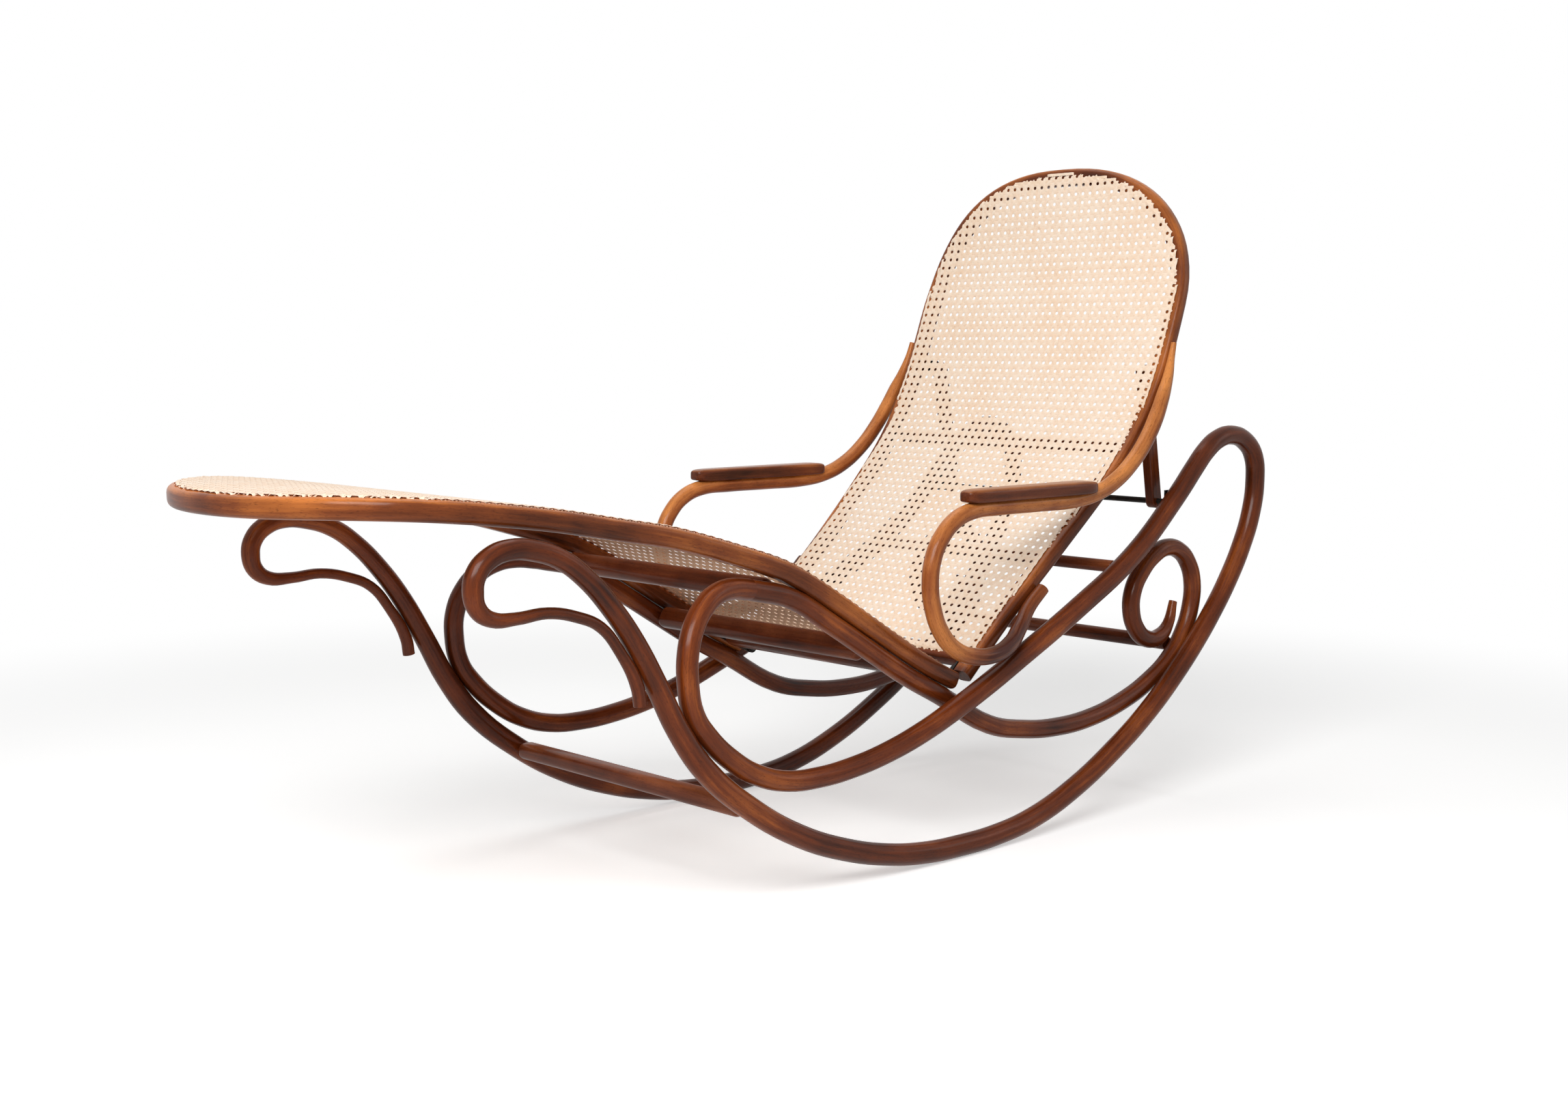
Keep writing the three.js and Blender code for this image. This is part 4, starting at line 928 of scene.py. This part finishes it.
def mark_arm_wear_and_painted_light(arm):
    """Lightens the stain all round the bow and the rest, most on their upper faces: partly wear from hands,
    partly painted light where the key lamp falls on them. The lower end behind is painted darker than the
    stain: painted shade.
    """
    places = points_of(arm)
    bow = 1 - smoothstep(places[:, 0] - HINGE[0], *BOW_WEAR_AND_LIGHT)
    rest = smoothstep(places[:, 2] - HINGE[2], *REST_WEAR_AND_LIGHT)
    handled_and_lit = np.maximum(bow, rest)
    thinned_and_top_lit = HANDLED_ROUND + (1 - HANDLED_ROUND) * facing_up(arm)
    # Lighter on the bow, the rest and their upper faces (wear and painted light), darker at the lower end
    # behind (painted shade).
    note_on_points(arm.data, "wear_and_painted_light", handled_and_lit * thinned_and_top_lit - (1 - handled_and_lit) * LOWER_END_PAINTED_SHADE)


# The arms' beech is a lighter copy of the hoops' beech: partly wear from hands, partly painted light on the
# bows.
arm_beech = lacquered_beech("lacquered_beech_arm_wear_and_painted_light", "#E2904C", "#985228", "#45190A", gloss=0.3)
for sign, side in ((-1, "left"), (1, "right")):
    radii = arm_radii()
    arm = bent_rod(f"arm_rod_{side}", arm_route(sign, radii), radii, steps=8, round_end=0.8)
    mark_arm_wear_and_painted_light(arm)
    arm.data.materials.append(arm_beech)
    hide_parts(f"arm_{side}")
    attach(arm, "back")

# The arm pads: shaped beech boards glued and screwed over the level stretch of each arm. They are full and
# square-shouldered behind, narrower in front, and rubbed shiny by hands.
PAD_TAPER = 0.78
PAD_STATIONS = 41
PAD_SIDES = 32
PAD_END_WIDTH = 0.35
PAD_END_HEIGHT = 0.5
PAD_END_POWER = 14
PAD_EDGE = 0.4
PAD_TOP = 0.6
PAD_UNDERSIDE = 0.35


def arm_pad(side):
    """A board lofted along the arm, rounded over its top and ends and flat underneath."""
    low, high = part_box(f"arm_pad_{side}")
    half_length, half_width, half_height = (high - low) / 2
    angles = ring_angles(PAD_SIDES)
    out = squared(np.cos(angles), PAD_EDGE)
    up = squared(np.sin(angles), np.where(np.sin(angles) > 0, PAD_TOP, PAD_UNDERSIDE))
    back = -np.cos(np.linspace(0, pi, PAD_STATIONS))
    full = (1 - np.abs(back) ** PAD_END_POWER) ** 0.5
    width = PAD_END_WIDTH + (1 - PAD_END_WIDTH) * full
    width *= PAD_TAPER + (1 - PAD_TAPER) * (1 + back) / 2
    height = PAD_END_HEIGHT + (1 - PAD_END_HEIGHT) * full
    centres = np.array((low + high) / 2) + back[:, None] * np.array([half_length, 0, 0])
    rings = np.repeat(centres[:, None], PAD_SIDES, axis=1)
    rings[..., 1] += width[:, None] * half_width * out
    rings[..., 2] += height[:, None] * half_height * up
    pad = loft(f"arm_pad_board_{side}", rings)
    facing_out(pad)
    eased(pad, 2.5 * MM, segments=3, angle=50)
    straight_grain(pad, 0)
    facing_out(pad)
    mark_wear_and_top_light(pad)
    return pad


pad_beech = lacquered_beech("hand_rubbed_beech_pad", "#A86230", "#6A3217", "#2E1208", gloss=0.27)
for side in ("left", "right"):
    pad = arm_pad(side)
    pad.data.materials.append(pad_beech)
    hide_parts(f"arm_pad_{side}")
    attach(pad, "back")

# The ironwork: forged straps and pins at the hinges, lugs and pins behind the back rails that carry the prop,
# a round rod that joins the prop's feet, and ledges on the diagonals that it lies on. All is oil-blackened.
HAMMER_PITCH = 6.25 * MM
RUST_PITCH = 18.2 * MM
IRONWORK = ("hinge_", "prop_pin", "prop_lug", "prop_ledge")


def blackened_iron(name):
    """Forged iron, oil-blackened: nearly black, faintly uneven, and brown where the coating has rubbed
    through.
    """
    material, tree = new_material(name)
    place = add_node(tree, "ShaderNodeTexCoord").outputs["Object"]
    hammer = add_node(tree, "ShaderNodeTexNoise", {
        "Vector": place, "Scale": 1 / HAMMER_PITCH, "Detail": 3}).outputs["Fac"]
    rust = add_node(tree, "ShaderNodeTexNoise", {
        "Vector": place, "Scale": 1 / RUST_PITCH, "Detail": 5}).outputs["Fac"]
    share = add_node(tree, "ShaderNodeMapRange", {
        "Value": rust, "From Min": 0.52, "From Max": 0.72, "To Max": 0.6}).outputs[0]
    colour = add_node(tree, "ShaderNodeMix", {0: share, 6: linear("#2A2725"), 7: linear("#4A3428")},
                      data_type="RGBA").outputs[2]
    sheen = add_node(tree, "ShaderNodeMapRange", {"Value": hammer, "To Min": 0.38, "To Max": 0.62}).outputs[0]
    relief = add_node(tree, "ShaderNodeBump", {
        "Height": hammer, "Strength": 0.25, "Distance": 0.4 * MM}).outputs[0]
    shader = add_node(tree, "ShaderNodeBsdfPrincipled", {
        "Base Color": colour, "Metallic": 0.85, "Roughness": sheen, "Normal": relief})
    add_node(tree, "ShaderNodeOutputMaterial", {"Surface": shader.outputs[0]})
    return material


iron = blackened_iron("oil_blackened_iron")
for node, solid in frame["nodes"].items():
    if node.startswith(IRONWORK):
        solid.data.materials.clear()
        solid.data.materials.append(iron)

low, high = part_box("prop_foot_rod")
foot_rod = turned_bar("prop_foot_iron_rod", "prop_foot_rod", (high.z - low.z) / 2, ease=1.2 * MM)
foot_rod.data.materials.append(iron)
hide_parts("prop_foot_rod")
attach(foot_rod, "prop")

# The prop's legs: two flat beech bars that turn on pins in the lugs behind the back, with the iron rod
# through their feet. They are sawn, rounded at both ends, eased along their edges, stained and lacquered.
LEG_TOP_RADIUS = 11 * MM
LEG_FOOT_RADIUS = 11 * MM
LEG_END_STEPS = 12


def prop_leg(side):
    low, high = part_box(f"prop_leg_{side}")
    foot_low, foot_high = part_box("prop_foot_rod")
    pivot = Vector(JOINT_PLACES["prop_swing"])
    foot = (foot_low + foot_high) / 2
    down = Vector((foot.x - pivot.x, 0, foot.z - pivot.z))
    heading = down.normalized()
    square = Vector((-heading.z, 0, heading.x))
    outline = []
    for centre, radius, start in ((0, LEG_TOP_RADIUS, pi / 2), (down.length, LEG_FOOT_RADIUS, -pi / 2)):
        for step in range(LEG_END_STEPS + 1):
            angle = start + pi * step / LEG_END_STEPS
            outline.append((centre + cos(angle) * radius, sin(angle) * radius))
    places = [pivot + heading * run + square * out for run, out in outline]
    rings = [[(place.x, y, place.z) for place in places] for y in (low.y, high.y)]
    leg = loft(f"prop_leg_bar_{side}", rings)
    facing_out(leg)
    eased(leg, 1.8 * MM, segments=3, angle=50)
    points = points_of(leg)
    out = points - np.array(pivot)
    grain = np.stack([out @ np.array(heading), out @ np.array(square), points[:, 1]], axis=1)
    note_on_points(leg.data, "grain", grain)
    facing_out(leg)
    mark_wear_and_top_light(leg)
    return leg


for side in ("left", "right"):
    leg = prop_leg(side)
    # The legs take the rods' darker beech, which is painted shade.
    leg.data.materials.append(shaded_rod_beech)
    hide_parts(f"prop_leg_{side}")
    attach(leg, "prop")
